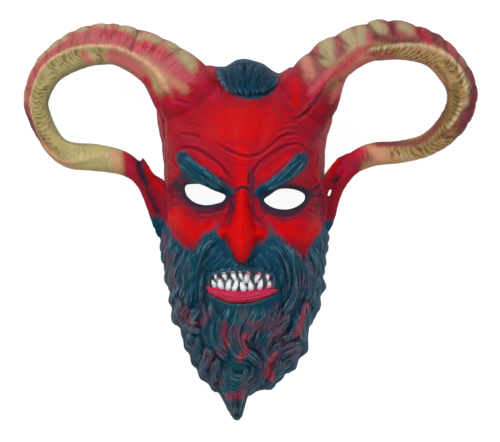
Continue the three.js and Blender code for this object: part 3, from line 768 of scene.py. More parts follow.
class Horn:
    """One horn, as closely spaced samples of its table: place, heading, up, out, half width and keel."""

    def __init__(self, rows, grooves, side, ribs):
        samples = curve_through(rows, HORN_SAMPLES)
        self.side = side
        self.ribs = ribs
        self.place = samples[:, :3]
        heading = np.gradient(self.place, axis=0)
        self.step = np.linalg.norm(heading, axis=1)
        self.heading = heading / self.step[:, None]
        self.length = np.concatenate([[0], np.cumsum(np.linalg.norm(np.diff(self.place, axis=0), axis=1))])
        up = np.array([0, 0, 1.0]) - self.heading * self.heading[:, 2:]
        self.up = up / np.linalg.norm(up, axis=1, keepdims=True)
        self.out = side * np.cross(self.heading, self.up)
        self.half = samples[:, 3] / 2
        self.keel = np.arccos(np.clip(2 * samples[:, 4] - 1, -1, 1))
        edge = self.place + self.out * self.half[:, None]
        marks = [self.length[np.argmin(np.hypot(edge[:, 0] - x, edge[:, 1] - y))] for x, y in grooves]
        self.grooves = np.sort(np.array(marks))

    def skewed(self, along, angle):
        """A place along the horn, put back by what the grooves lag at that angle."""
        return along - GROOVE_SKEW * (1 - np.cos(angle)) * smooth(0, 60, along)

    def swell(self, along, angle):
        """How far the surface stands out over the bare profile, in millimetres."""
        outer = smooth(-0.15, 0.75, np.cos(angle))
        skewed = self.skewed(along, angle)
        gaps = np.concatenate([[self.grooves[0] - 26], self.grooves, [self.grooves[-1] + 26]])
        lump = np.clip(np.searchsorted(gaps, skewed) - 1, 0, len(gaps) - 2)
        between = np.clip((skewed - gaps[lump]) / (gaps[lump + 1] - gaps[lump]), 0, 1)
        high = mix(self.ribs[0], self.ribs[1], smooth(105, 165, along))
        ribs = high * (np.clip(np.sin(math.pi * between), 0, 1) ** 0.55 - 0.53)
        ribs *= outer * smooth(gaps[0], gaps[1], skewed) * smooth(gaps[-1], gaps[-2], skewed)
        keel = np.interp(along, self.length, self.keel)
        off_keel = (angle - keel + math.pi) % (2 * math.pi) - math.pi
        ends = smooth(8, 50, along) * smooth(self.length[-1] - 60, self.length[-1] - 130, along)
        ridge = 2.2 * bell(off_keel, 0.2) * ends
        trough = 1.3 * (bell(off_keel - 0.5, 0.25) + bell(off_keel + 0.45, 0.22)) * ends
        return ribs + ridge - trough

    def groove_depth(self, along, angle):
        """1 in the growth grooves and 0 on the ribs between them."""
        gap = np.abs(self.skewed(along, angle)[..., None] - self.grooves).min(-1)
        return bell(gap, 1.6) * smooth(-0.15, 0.5, np.cos(angle))

    def surface(self, index, angle, shrink=0.0, relief=True):
        """Points at sample numbers and angles: out by the cosine and up by the sine of the angle."""
        index, angle = np.broadcast_arrays(index, angle)
        size = self.half[index] - shrink
        if relief:
            size = size + self.swell(self.length[index], angle) * smooth(6, 16, self.half[index])
        size = np.maximum(size, 0.4)[..., None]
        return (
            self.place[index]
            + self.out[index] * size * np.cos(angle)[..., None]
            + self.up[index] * size * FLATNESS * np.sin(angle)[..., None]
        )


def tube(name, rings):
    """A closed surface from rings of points: the grid joins them, and a fan closes each end."""
    count, around = rings.shape[:2]
    ends = np.array([rings[0].mean(0), rings[-1].mean(0)])
    j = np.arange(around)
    after, last = (j + 1) % around, (count - 1) * around
    low_fan = np.stack([np.full(around, count * around), after, j], -1)
    high_fan = np.stack([np.full(around, count * around + 1), last + j, last + after], -1)
    faces = [*grid_faces(count, around, close_columns=True).tolist(), *low_fan.tolist(), *high_fan.tolist()]
    return mesh_object(name, np.vstack([rings.reshape(-1, 3), ends]), faces)


horns = [
    Horn(LEFT_HORN, LEFT_GROOVES, side=1, ribs=(1.6, 1.1)),
    Horn(RIGHT_HORN, RIGHT_GROOVES, side=-1, ribs=(3.0, 1.3)),
]


def horn_tube(name, horn, steps, around, reach_along=1.0, **options):
    index = np.round(np.linspace(0, (HORN_SAMPLES - 1) * reach_along, steps)).astype(int)[:, None]
    angle = -horn.side * np.linspace(0, 2 * math.pi, around, endpoint=False)[None, :]
    return tube(name, horn.surface(index, angle, **options))


horn_meshes = [horn_tube(f"horn {k}", horn, 560, 110) for k, horn in enumerate(horns)]
print("the horns are", [round(float(horn.length[-1])) for horn in horns], "mm long along their middles")

# %% [markdown]
# ## Ears and teeth
#
# Each ear is a bent leaf with some thickness: one curve runs up its root on the head and another round its
# edge, and the leaf hollows between them and rolls over at the edge. The teeth lean this way and that. Each
# is a slim leaf, three quarters as thick as it is wide, that starts inside a gum and ends in a point.

# %% Ears
LEFT_EAR = [
    [(-74, -12, 28), (-80, -9, 19)], [(-73, 0, 32), (-83, 5, 19)], [(-72, 12, 35), (-88, 17, 19)],
    [(-72, 24, 37), (-94, 28, 20)], [(-77, 36, 37), (-99, 39, 21)], [(-85.5, 41, 34), (-101.5, 48, 24)],
    [(-93, 51.5, 29), (-97, 57.5, 25)],
]
RIGHT_EAR = [
    [(63, -8, 29), (70, -6, 19)], [(63, 4, 32), (72, 6, 19)], [(63, 16, 35), (73, 18, 20)],
    [(63, 28, 37), (76, 31, 21)], [(65, 37, 37), (81, 43, 23)], [(70, 45.5, 35), (86, 54, 26)],
    [(78.5, 56, 31), (90, 61.5, 29)],
]


def ear_leaf(name, rows, side):
    root = curve_through([row[0] for row in rows], 90)[:, None]
    edge = curve_through([row[1] for row in rows], 90)[:, None]
    t = np.linspace(0, 1, 90)[:, None]
    angle = np.linspace(0, 2 * math.pi, 56, endpoint=False)[None, :]
    across = 0.5 - 0.5 * np.cos(angle)
    rings = root + (edge - root) * across[..., None]
    long_way = np.sin(math.pi * np.clip(t, 0.1, 0.92))
    hollow = 3.0 * np.sin(math.pi * across) * long_way
    rings[..., 2] += 2.4 * np.sin(angle) - hollow
    return tube(name, rings if side < 0 else rings[:, ::-1])


ears = [ear_leaf("left ear", LEFT_EAR, 1), ear_leaf("right ear", RIGHT_EAR, -1)]
print("the ears are", [round(float(np.ptp(positions_of(ear.data)[:, 1]))) for ear in ears], "mm long")

# %% Teeth: root x and y, point x and y, half width
UPPER_TEETH = [
    (-31.8, -45.5, -30, -54, 1.3), (-24.2, -45, -21.3, -54.5, 2.0), (-16, -45.5, -12.6, -55.2, 2.1),
    (-9.6, -46, -6.4, -54, 1.5), (-1.8, -46.5, -4, -56.8, 2.1), (8.6, -46, 4.2, -57, 2.1),
    (15.4, -45.5, 15.8, -54.8, 1.7),
]
LOWER_TEETH = [
    (-30.3, -61.5, -34.4, -52.6, 1.9), (-25, -63.5, -27.7, -52.2, 2.6), (-20.3, -64.5, -17.8, -52, 2.4),
    (-15, -65, -11, -53, 2.4), (-4.6, -65.5, -8.4, -54.4, 2.5), (1.5, -65.5, -0.2, -53, 2.4),
    (8.2, -63.5, 10.6, -51.8, 2.4), (16.4, -61.5, 18.4, -54, 1.8),
]


def leaf_width(half, t):
    """Narrow at the root, widest a third of the way along, and running out to a point: half times the sine
    of a fifth of a half turn at the root to a whole half turn at the point."""
    return half * np.clip(np.sin(math.pi * (0.2 + 0.8 * t)), 0, 1) ** 0.8 + 0.03


def blade(name, x0, y0, x1, y1, half, lift):
    """Rings from root to point, each as wide as the leaf is there and three quarters as thick."""
    t = np.linspace(-0.15, 0.985, 22)[:, None]
    angle = np.linspace(0, 2 * math.pi, 20, endpoint=False)[None, :]
    width = leaf_width(half, t)
    length = math.hypot(x1 - x0, y1 - y0)
    side_x, side_y = -(y1 - y0) / length, (x1 - x0) / length
    floor = float(dome(np.array((x0 + x1) / 2), np.array(-54.0))) + lift
    x = x0 + (x1 - x0) * t + side_x * width * np.cos(angle)
    y = y0 + (y1 - y0) * t + side_y * width * np.cos(angle)
    z = floor + 1.6 * np.sin(math.pi * np.clip(t, 0, 1)) + 0.75 * width * np.sin(angle)
    return tube(name, np.stack(np.broadcast_arrays(x, y, z), -1)[:, ::-1])


teeth = [blade("upper tooth", *row, lift=3.6) for row in UPPER_TEETH]
teeth += [blade("lower tooth", *row, lift=2.4) for row in LOWER_TEETH]
print(len(UPPER_TEETH), "upper and", len(LOWER_TEETH), "lower teeth")

# %% [markdown]
# ## Joined as one, as clay is
#
# The parts overlap, and in clay they would simply be smoothed together. A Remesh modifier does that: it
# fills the whole with small cubes and wraps one new even skin round them, so the result is a single closed
# surface whatever crossed inside. Booleans could join them too, but would leave sharp seams.

# %% Join and remesh


def joined(name, objects):
    """One object from several, their meshes simply laid together."""
    points, faces, first = [], [], 0
    for each in objects:
        points.append(positions_of(each.data))
        faces += [[first + corner for corner in face.vertices] for face in each.data.polygons]
        first += len(each.data.vertices)
        bpy.data.objects.remove(each)
    return mesh_object(name, np.vstack(points), faces)


def apply_modifiers(piece):
    """Replaces a piece's mesh by what its modifiers make of it."""
    graph = bpy.context.evaluated_depsgraph_get()
    shaped = piece.evaluated_get(graph)
    finished = bpy.data.meshes.new_from_object(shaped, preserve_all_data_layers=True, depsgraph=graph)
    piece.modifiers.clear()
    old = piece.data
    piece.data = finished
    bpy.data.meshes.remove(old)


def remesh(piece, voxel_mm):
    modifier = piece.modifiers.new("even skin", "REMESH")
    modifier.mode = "VOXEL"
    modifier.voxel_size = voxel_mm * 0.001
    apply_modifiers(piece)


SKIN = 0.75
mask = joined("devil_mask", [head, *horn_meshes, *ears, *teeth])
remesh(mask, SKIN)
print("one skin of", len(mask.data.vertices), "points")

# %% [markdown]
# ## Fine relief
#
# Strands and creases are finer than the cubes were, so they are pressed into the new skin afterwards: each
# point moves along its own normal by what the plan says at its place. The plan is drawn from above and
# cannot describe the steep sides of the head, so there the beard's strands are worked out round the outline
# instead. The horns get their strokes along and across their own length.

# %% Which part of the mask each point belongs to
STRIDE = 3  # every third sample of a horn is near enough
ROUND = 12.0  # turns an angle round a horn into about as many millimetres


def horn_places(points):
    """For each point: which horn it is nearest to, how far along it in millimetres, its angle round it, and
    how far out it lies in half widths."""
    found = np.zeros((len(points), 4))
    found[:, 3] = 9.0
    for k, horn in enumerate(horns):
        side = points[:, 0] < -20 if k == 0 else points[:, 0] > 10
        chosen = np.flatnonzero(side & (points[:, 1] > 15))
        for part in np.array_split(chosen, max(1, len(chosen) // 20000)):
            apart = ((points[part, None, :] - horn.place[None, ::STRIDE]) ** 2).sum(-1)
            nearest = np.argmin(apart, axis=1) * STRIDE
            away = points[part] - horn.place[nearest]
            out = (away * horn.out[nearest]).sum(-1)
            up = (away * horn.up[nearest]).sum(-1) / FLATNESS
            along = horn.length[nearest] + (away * horn.heading[nearest]).sum(-1)
            far_out = np.hypot(out, up) / horn.half[nearest]
            found[part] = np.stack([np.full(len(part), k), along, np.arctan2(up, out), far_out], -1)
    return found


def wall_strands(points):
    """Locks on the steep side of the head. s runs round the outline and z up it; the locks come over the
    edge and slant down towards the chin. Each lock is an arch across, and each strand a smaller one."""
    x, y, z = points.T
    turn = np.arctan2(y - MIDDLE[1], x - MIDDLE[0])
    s = np.abs(((turn + math.pi / 2 + math.pi) % (2 * math.pi)) - math.pi) * 95
    lean = s - 0.55 * z + 3.0 * np.sin(z / 9 + s / 21) + 1.5 * ripple(s, z, 30, 31)
    lock = np.abs(np.sin(math.pi * lean / 12))
    strand = np.abs(np.sin(math.pi * (lean / 2.2 + 0.2 * ripple(s, z, 8, 32))))
    return 2.6 * lock**0.7 + 0.5 * strand - 1.5, lean, z


def comb_cycles(where):
    """Counts the combed strokes on the inner side of a horn. They bend like brackets, and the right horn's
    are wider apart."""
    along, turn = where[:, 1], where[:, 2]
    bent = along - 6.0 * np.sin(turn) + 4.0 * np.cos(turn) ** 2
    rough = ripple(along, ROUND * np.cos(turn), 16, 42) + ripple(ROUND * np.sin(turn), along, 11, 45)
    return (bent + 1.5 * rough) / np.where(where[:, 0] == 0, 4.2, 4.8)


def horn_strokes(where):
    """Fine carved strokes: across the horn on its outer side, combed and curved on its inner side."""
    along, around = where[:, 1], ROUND * np.cos(where[:, 2])
    outer = smooth(-0.2, 0.6, around / ROUND)
    bars = 0.5 + 0.5 * np.sin(2 * math.pi * (along / 2.7 + 0.35 * ripple(along, around, 14, 41)))
    comb = (0.5 + 0.5 * np.sin(2 * math.pi * comb_cycles(where))) ** 2
    some = smooth(-0.7, 0.8, ripple(along, around, 24, 43))
    return -0.2 * bars * outer * some - 0.35 * comb * (1 - outer) * some


def soften(mesh, points, weight, rounds):
    """In every round each point moves half way to the mean of its neighbours, times its weight."""
    ends = np.empty(2 * len(mesh.edges), np.int32)
    mesh.edges.foreach_get("vertices", ends)
    first, second = ends.reshape(-1, 2).T
    count = np.bincount(ends, minlength=len(points))
    for _ in range(rounds):
        for axis in range(3):
            column = points[:, axis].copy()
            total = np.bincount(first, column[second], len(points))
            total += np.bincount(second, column[first], len(points))
            points[:, axis] += 0.5 * weight * (total / count - column)
    return points


points = positions_of(mask.data)
where = horn_places(points)
at_root = smooth(0.7, 0.95, where[:, 3]) * smooth(2.0, 1.5, where[:, 3]) * smooth(95, 55, where[:, 1])
at_ear = smooth(64, 68, np.abs(points[:, 0] + 4)) * smooth(-30, -16, points[:, 1])
at_ear *= smooth(66, 60, points[:, 1])
points = soften(mask.data, points, np.maximum(at_root, 0.5 * at_ear), rounds=36)
put_points(mask.data, points)
print("horn roots smoothed at", int((at_root > 0.5).sum()), "points")

# %% Pressing the relief in
normals = normals_of(mask.data)
facing = normals[:, 2]  # 1 where the surface looks straight up
x, y, z = points.T
where = horn_places(points)
on_horn = smooth(1.5, 1.2, where[:, 3]) * smooth(12, 40, where[:, 1])
on_wall = smooth(5.0, 2.2, rim_gap(x, y)) * smooth(0.75, 0.5, np.abs(facing))
beard_side = smooth(4, -16, y + 0.15 * z) * (1 - on_horn)
strands, _, _ = wall_strands(points)
press = read_plan(fine, x, y) * (1 - on_wall) * (1 - on_horn) * smooth(-0.1, 0.35, facing)
press += strands * on_wall * beard_side * smooth(-1, 5, z)
press += horn_strokes(where) * on_horn * smooth(28, 60, where[:, 1]) * smooth(3, 12, z)
press += read_plan(creases, x, y) * np.maximum(
    on_horn * smooth(0.1, 0.5, facing), 0.7 * on_wall * (1 - beard_side) * smooth(0.05, 0.3, facing)
)
press += 0.12 * ripple(x + z, y - z, 6, 44) * (z > 0)
points += normals * press[:, None]
put_points(mask.data, points)
print("relief pressed in from", round(float(press.min()), 2), "to", round(float(press.max()), 2), "mm")

# %% [markdown]
# ## Poured, not solid
#
# The casting is a skin of latex about two and a half millimetres thick. A Solidify modifier would crumple in
# the deep folds, so the hollow is a core, as a mould maker would say: a plainer, smaller head with plainer,
# smaller horns, cut away from below. The core lies one wall inside the front: its height is the least, over
# all neighbours within a wall's reach, of their height less what a ball of that radius leaves between.

# %% The core
WALL = 2.4
HORN_WALL = 2.8
GROOVE_ALLOWANCE = 0.9  # what the grooves take off a horn, whose core is plain
CORE_REACH = 0.68  # how far the hollow goes along a horn, as a share of its samples
CORE_SKIN = 2.4  # its cubes, which may be coarser than the skin's
CORE_KEEP = 0.16  # the share of its faces that it needs
front_plan = front(plan_x, plan_y)
core_plan = front_plan - WALL
for share in (0.4, 0.7, 0.9, 1.0):
    for turn in np.arange(12) * math.pi / 6:
        step = share * WALL / PITCH
        shift = (int(round(step * math.sin(turn))), int(round(step * math.cos(turn))))
        near = np.roll(front_plan, shift, axis=(0, 1)) - WALL * math.sqrt(1 - share**2)
        core_plan = np.minimum(core_plan, near)
core_plan = blur(core_plan, 1.0) - 0.4 - 1.4 * blur(mouth_open, 3.0)  # stronger behind the mouth


def core_radius(turn):
    """The least radius of the outline within 4 degrees, less the wall."""
    near = [outline_radius(turn + math.radians(k)) for k in (-4, -2, 0, 2, 4)]
    return np.min(near, axis=0) - WALL


def core_height(x, y):
    return read_plan(core_plan, x, y)


core = lidded_dome("core", 90, core_radius, core_height, -BELOW - 3)
horn_cores = [
    horn_tube(f"core {k}", horn, 60, 24, CORE_REACH, shrink=HORN_WALL + GROOVE_ALLOWANCE, relief=False)
    for k, horn in enumerate(horns)
]
core = joined("core", [core, *horn_cores])
remesh(core, CORE_SKIN)
calm = core.modifiers.new("soften", "SMOOTH")
calm.factor, calm.iterations = 0.5, 4
thin_out = core.modifiers.new("thin out", "DECIMATE")
thin_out.ratio = CORE_KEEP
apply_modifiers(core)
print("the core has", len(core.data.polygons), "faces")

# %% The knives: two eyes, two strap slots, and the flat the mask rests on
RIGHT_SLOT = [(72.7, 26.4), (71.3, 22.9)]  # across the ear's root, seen from the front
LEFT_SLOT = {"x": (-92, -64), "y": 24.5, "z": 14.0, "half": (3.4, 1.1)}  # through the side behind the ear


def prism(name, outline, low, high):
    rings = np.stack([np.column_stack([outline, np.full(len(outline), z)]) for z in (low, high)])
    return tube(name, rings)


def slot_outline(ends, half):
    """Two half circles round the ends of a short line, anticlockwise."""
    (ax, ay), (bx, by) = ends
    lean = math.atan2(by - ay, bx - ax)
    turn = np.linspace(-math.pi / 2, math.pi / 2, 9)
    far = np.stack([bx + half * np.cos(lean + turn), by + half * np.sin(lean + turn)], -1)
    near = np.stack([ax - half * np.cos(lean + turn), ay - half * np.sin(lean + turn)], -1)
    return np.vstack([far, near])


def anticlockwise(outline):
    """The outline turned round if its signed area is negative."""
    x, y = outline.T
    area = (x * np.roll(y, -1) - y * np.roll(x, -1)).sum()
    return outline if area > 0 else outline[::-1]


def oblong(middle, half):
    """The corners of an oblong, anticlockwise."""
    (a, b), (half_a, half_b) = middle, half
    low, high = b - half_b, b + half_b
    return np.array([(a - half_a, low), (a + half_a, low), (a + half_a, high), (a - half_a, high)], float)


knives = [prism("eye", anticlockwise(curve), low=20, high=140) for curve in eye_curves]
knives.append(prism("right slot", anticlockwise(slot_outline(RIGHT_SLOT, half=1.1)), low=-4, high=90))
through = oblong((LEFT_SLOT["y"], LEFT_SLOT["z"]), LEFT_SLOT["half"])
ends = [np.column_stack([np.full(4, end_x), through]) for end_x in LEFT_SLOT["x"]]
knives.append(tube("left slot", np.stack(ends)))
knives.append(prism("table", oblong((0, 0), (260, 240)), low=-60, high=0))


def cut(piece, knife):
    modifier = piece.modifiers.new("cut", "BOOLEAN")
    modifier.operation = "DIFFERENCE"
    modifier.solver = "MANIFOLD"
    modifier.object = knife
    apply_modifiers(piece)
    bpy.data.objects.remove(knife)


painted = bpy.data.materials.new("painted latex")
raw = bpy.data.materials.new("raw latex")
mask.data.materials.append(painted)
for knife in (core, *knives):
    knife.data.materials.append(raw)
    cut(mask, knife)
    print("cut; the casting now has", len(mask.data.polygons), "faces")
print([material.name for material in mask.data.materials])

# %% [markdown]
# ## Thinning the mesh where it is flat
#
# The skin is now far finer than its flat parts need. The Decimate modifier folds together the triangles that
# change the shape least, so the strands and teeth keep theirs and the hollow back gives up most of its own.

# %% Decimate
TRIANGLES = 188000
SHARP_EDGE = math.radians(58)
triangle_count = sum(len(face.vertices) - 2 for face in mask.data.polygons)
collapse = mask.modifiers.new("collapse", "DECIMATE")
collapse.ratio = min(1.0, TRIANGLES / triangle_count)
apply_modifiers(mask)
mask.data.polygons.foreach_set("use_smooth", np.ones(len(mask.data.polygons), bool))
mask.data.set_sharp_from_angle(angle=SHARP_EDGE)
print(triangle_count, "triangles became", len(mask.data.polygons))

# %% [markdown]
# ## Where each colour of paint goes
#
# The painter laid a red ground, then brighter red with a wide brush on the forehead, nose and cheeks, teal
# over the hair and beige and pink over the horns. Dark paint in the hollows and folds here is painted shade,
# and lighter paint on the ridges and strands is painted highlight. Each of those is a mask from 0 to 1, drawn
# on the plan with the same strokes as the creases, and stored on the mesh's points. Painting an image would
# do it too, but masks keep the colours adjustable in the material.

# %% Painting the skin on the plan: bright, painted shade, teal round the eyes, painted highlights
def painted_plan(strokes):
    """Strokes with round soft ends, as a wide brush or an airbrush leaves them."""
    plan = np.zeros(PLAN_SIZE)
    for points, width, value in strokes:
        stroke(plan, points, width, value, taper=0)
    return plan


bright = 0.95 * bell(np.hypot((plan_x + 8) / 1.75, plan_y - 86), 24)
plan_nose = nose(plan_x, plan_y)
bright = np.maximum(bright, smooth(1.5, 5, plan_nose))
bright = np.maximum(bright, painted_plan([
    ([(-8, 62), (-7, 44), (-7, 28)], 9, 0.9), ([(-70, 4), (-60, -2), (-50, -14)], 9, 1.0),
    ([(-52, -16), (-44, -8), (-34, -4)], 6, 0.9), ([(28, -6), (40, -12), (52, -14), (62, -6)], 8, 1.0),
    ([(14, 2), (26, -4), (36, -8)], 5, 0.8), ([(-44, 52), (-32, 46), (-20, 36)], 5, 0.6),
    ([(10, 40), (22, 48), (34, 56)], 5, 0.6), ([(-60, 40), (-68, 52)], 5, 0.3),
    ([(-4, -14), (20, -10)], 4, 0.5), ([(40, 124), (41, 104)], 5, 1.0),
    ([(78, 52), (72, 40), (68, 28)], 3.4, 1), ([(-92, 44), (-86, 34), (-77, 24)], 4, 0.9),
    ([(26, -8), (40, -2), (56, -6)], 6, 0.7), ([(-66, 14), (-58, 4)], 4, 0.5),
]))
fold_shade = painted_plan([  # painted shade: thin dark paint in the folds and towards the edges
    ([(66, 70), (67, 30), (66, -6)], 3.0, 0.2), ([(-64, 74), (-48, 68), (-36, 58)], 5, 0.4),
    ([(-72, 26), (-62, 22)], 7, 0.7), ([(50, 26), (62, 22), (64, 8)], 7, 0.8),
    ([(54, 60), (58, 74), (62, 86)], 6, 0.6), ([(-24, 36), (-16, 26), (-17, 8)], 4, 0.9),
    ([(0, 44), (1, 26), (3, 8)], 3.6, 0.9), ([(8, 14), (12, 0), (14, -6)], 5, 0.6),
    ([(-15, 20), (-17, 8), (-19, -2)], 3, 0.9), ([(2, 20), (3, 9), (7, 0)], 3, 0.9),
    ([(12, -4), (20, -4)], 4, 0.5), ([(-56, 6), (-40, 3), (-24, 8)], 4, 0.5),
    ([(14, 6), (30, 1), (48, 6)], 4, 0.5), ([(34, 80), (48, 80), (58, 72)], 4, 0.4),
    ([(-30, 122), (-22, 108), (-6, 103)], 3, 0.4), ([(30, 122), (24, 110), (8, 104)], 3, 0.4),
    ([(60, 84), (66, 92)], 5, 0.6), ([(90, 60), (85, 50), (79, 36)], 3.0, 1.0),
    ([(-99, 57), (-95, 51)], 3.4, 1), ([(-78, 112), (-77, 80), (-76, 40)], 2, 0.5),
    ([(-90, 26), (-84, 10), (-80, -4)], 4, 0.5), ([(70, 100), (66, 86), (64, 74)], 5, 0.7),
    ([(66, 20), (69, 4)], 2, 0.4),
])
kohl_and_shade = painted_plan([  # the dark teal paint round the eyes, and painted shade in the ears and at the outer corner of the left eye
    ([(-66, 32), (-60, 28)], 5.5, 0.9), ([(-62, 38), (-52, 35)], 4.5, 0.8),
    ([(-24, 24), (-17, 22)], 3.6, 0.9), ([(-18, 20), (-14.5, 8)], 1.8, 0.8),
    ([(2.7, 41), (2.7, 22)], 1.5, 0.6), ([(6, 22), (14, 20)], 3.6, 0.9), ([(3, 38), (2.5, 24)], 1.6, 0.8),
    ([(-62, 20), (-58, 14)], 3, 0.6), ([(50, 26), (56, 22)], 4, 0.7), ([(44, 30), (28, 30)], 3, 0.6),
    ([(-57, 14), (-48, 8.5), (-36, 7.5), (-24, 11)], 2.6, 0.6),
    ([(-50, 4.5), (-38, 2), (-25, 6)], 1.6, 0.25), ([(10, 11), (20, 5.5), (33, 3.5), (48, 9)], 2.6, 0.6),
    ([(16, 3), (28, -0.5), (44, 3)], 1.6, 0.25), ([(-101, 52), (-98, 43), (-94, 33)], 3.4, 0.9),
    ([(-60, 28), (-70, 31)], 1.2, 0.7), ([(-61, 22), (-71, 21)], 1.2, 0.7),
    ([(-60, 16), (-70, 13)], 1.2, 0.6), ([(50, 25), (63, 32)], 1.2, 0.7), ([(51, 20), (65, 23)], 1.2, 0.7),
    ([(50, 15), (64, 12)], 1.2, 0.6), ([(48, 11), (60, 5)], 1.2, 0.5),
    ([(-94, 30), (-89, 19), (-84, 8)], 2.2, 0.6), ([(86, 55), (80, 42), (76, 34)], 1.8, 0.7),
    ([(-13, 26), (-8, 29), (-3, 28), (0, 24)], 1.4, 0.8), ([(60, 81), (62, 75)], 2.6, 0.4),
])
kohl_and_shade = np.maximum(kohl_and_shade, smooth(6.8, 2.2, from_eyes))
kohl_and_shade *= 1 - smooth(2, 6, plan_nose)
bright *= 1 - 0.8 * np.clip(fold_shade + kohl_and_shade, 0, 1)
edge_highlight = painted_plan([  # painted highlights: lighter lines where the face turns over at its edge
    ([(-74.5, 105), (-75, 60), (-74, 20), (-72, -8)], 0.9, 0.4),
    ([(58, 45), (65, 30), (69, 14), (67, 0), (60, -18)], 0.9, 0.7),
    ([(-62, 108), (-72, 112), (-80, 128)], 1.6, 0.6), ([(48, 100), (60, 112), (72, 128)], 1.4, 0.7),
    ([(-70, 96), (-62, 80), (-50, 70)], 5, 0.3), ([(62, 72), (52, 66)], 5, 0.3),
    ([(72, 52), (68, 40)], 2, 0.4),
])
gum = painted_plan([  # pink where the teeth come out of the lips
    ([(-3, -48.5), (-1, -48.5)], 1.4, 1), ([(7, -48), (9.5, -47.5)], 1.6, 1),
    ([(18, -48), (19, -51)], 1.4, 0.8),
    ([(-30, -61), (-20, -63.5), (-8, -64), (4, -63), (19, -60)], 1.6, 0.9),
    ([(15, -60), (20, -57)], 1.6, 0.7),
])
print("bright paint covers", round(float(bright.mean()) * 100), "per cent of the plan")

# %% Painting the beard on the plan: red patches, mauve, green, painted shade and painted highlights
patches = painted_plan([
    ([(-60, -83), (-54, -91), (-44, -92), (-37, -83)], 5, 0.55),
    ([(-22, -93), (-23, -104), (-21, -112)], 4.2, 0.6), ([(-4, -104), (-5, -113), (-3, -118)], 4.6, 0.8),
    ([(-4, -117), (-9, -124)], 5, 0.8), ([(22, -121), (18, -134), (19, -142)], 6, 0.8),
    ([(51, -76), (47, -88), (43, -101)], 4.2, 0.75), ([(-19, -160), (-8, -158)], 5.5, 0.75),
    ([(48, -19), (48, -31)], 4, 0.6), ([(40, -101), (44, -106)], 5, 0.6),
    ([(-78, -14), (-77, -26)], 5, 0.5), ([(-70, -12), (-72, -20)], 4, 0.45),
    ([(9, -92), (18, -98)], 7, 0.35), ([(29, -94), (22, -103)], 7, 0.35),
    ([(-74, -62), (-70, -74)], 6, 0.3), ([(-62, -40), (-64, -34)], 7, 0.3),
    ([(-42, -132), (-30, -128)], 7, 0.35), ([(56, -40), (52, -56)], 6, 0.25),
    ([(-50, -112), (-44, -120)], 6, 0.3),
])
mauve = painted_plan([  # where the beard's teal was mixed with the red
    ([(0, -94), (-12, -104)], 14, 0.8), ([(25, -92), (33, -120)], 14, 0.8),
    ([(-35, -122), (-30, -140)], 10, 0.8), ([(-55, -92), (-62, -84)], 10, 0.8),
    ([(44, -60), (52, -44)], 10, 0.5), ([(-74, -30), (-70, -60)], 6, 0.7),
    ([(-2, -150), (-12, -160)], 7, 0.7), ([(12, -128), (20, -140)], 8, 0.8),
])
green = 0.9 * bell(np.hypot((plan_x + 2) / 1.5, plan_y + 82), 14)
green = np.maximum(green, bell(np.hypot((plan_x + 12) / 1.3, plan_y + 138), 13))
green = np.maximum(green, 0.5 * bell(np.hypot(plan_x + 48, plan_y + 44), 16))
folds = painted_plan([  # teal run up into the folds beside the nose
    ([(-29, -2), (-27.5, -9), (-21, -18)], 1.8, 0.7), ([(18, -6), (16.5, -12), (11, -18)], 1.8, 0.7),
])
hair_paint = np.maximum(soft_hair, folds) * (1 - smooth(4, 8, plan_nose))
beard_shade = painted_plan([  # painted shade: deep teal where the beard turns inwards
    ([(-38, -32), (-44, -50), (-42, -68), (-36, -80)], 6, 0.8),
    ([(26, -36), (34, -52), (32, -70), (24, -84)], 6, 0.8), ([(-30, -43), (-8, -41.5), (16, -43)], 3, 0.7),
    ([(-30, -71), (-6, -77), (18, -72)], 3, 0.7), ([(-60, -56), (-61, -78)], 4, 0.5),
    ([(-56, -104), (-50, -120)], 5, 0.5), ([(-30, -128), (-8, -136), (4, -132)], 4, 0.5),
    ([(38, -94), (30, -110)], 5, 0.6), ([(-13, -166), (-11, -182)], 8, 0.9),
    ([(46, -48), (47, -66)], 4, 0.5), ([(10, -100), (12, -118)], 4, 0.5),
    ([(-36, -92), (-34, -108)], 4, 0.4), ([(30, -122), (40, -130)], 4, 0.4),
    ([(-26, 28), (-17, 22)], 3.4, 0.9), ([(7, 22), (17, 26)], 3.4, 0.9), ([(-38, -50), (-37, -58)], 3, 0.8),
    ([(22, -49), (24, -58)], 3, 0.8),
])
beard_highlight = painted_plan([  # painted highlights: greyer teal on the high locks
    ([(-70, -44), (-66, -62), (-62, -72)], 6, 0.8), ([(-6, -82), (4, -92)], 6, 0.6),
    ([(-30, -106), (-24, -118)], 5, 0.7), ([(-58, -34), (-54, -48)], 5, 0.5),
    ([(56, -34), (52, -50)], 5, 0.6), ([(34, -96), (20, -106)], 5, 0.6),
    ([(-36, -138), (-26, -146)], 5, 0.5), ([(24, -138), (32, -132)], 5, 0.5),
    ([(-12, -24), (2, -26)], 4, 0.3),
])
tuft_shade = 0.3 * blur(in_tuft, 2.0)
print("teal covers", round(float(hair_paint.mean()) * 100), "per cent")

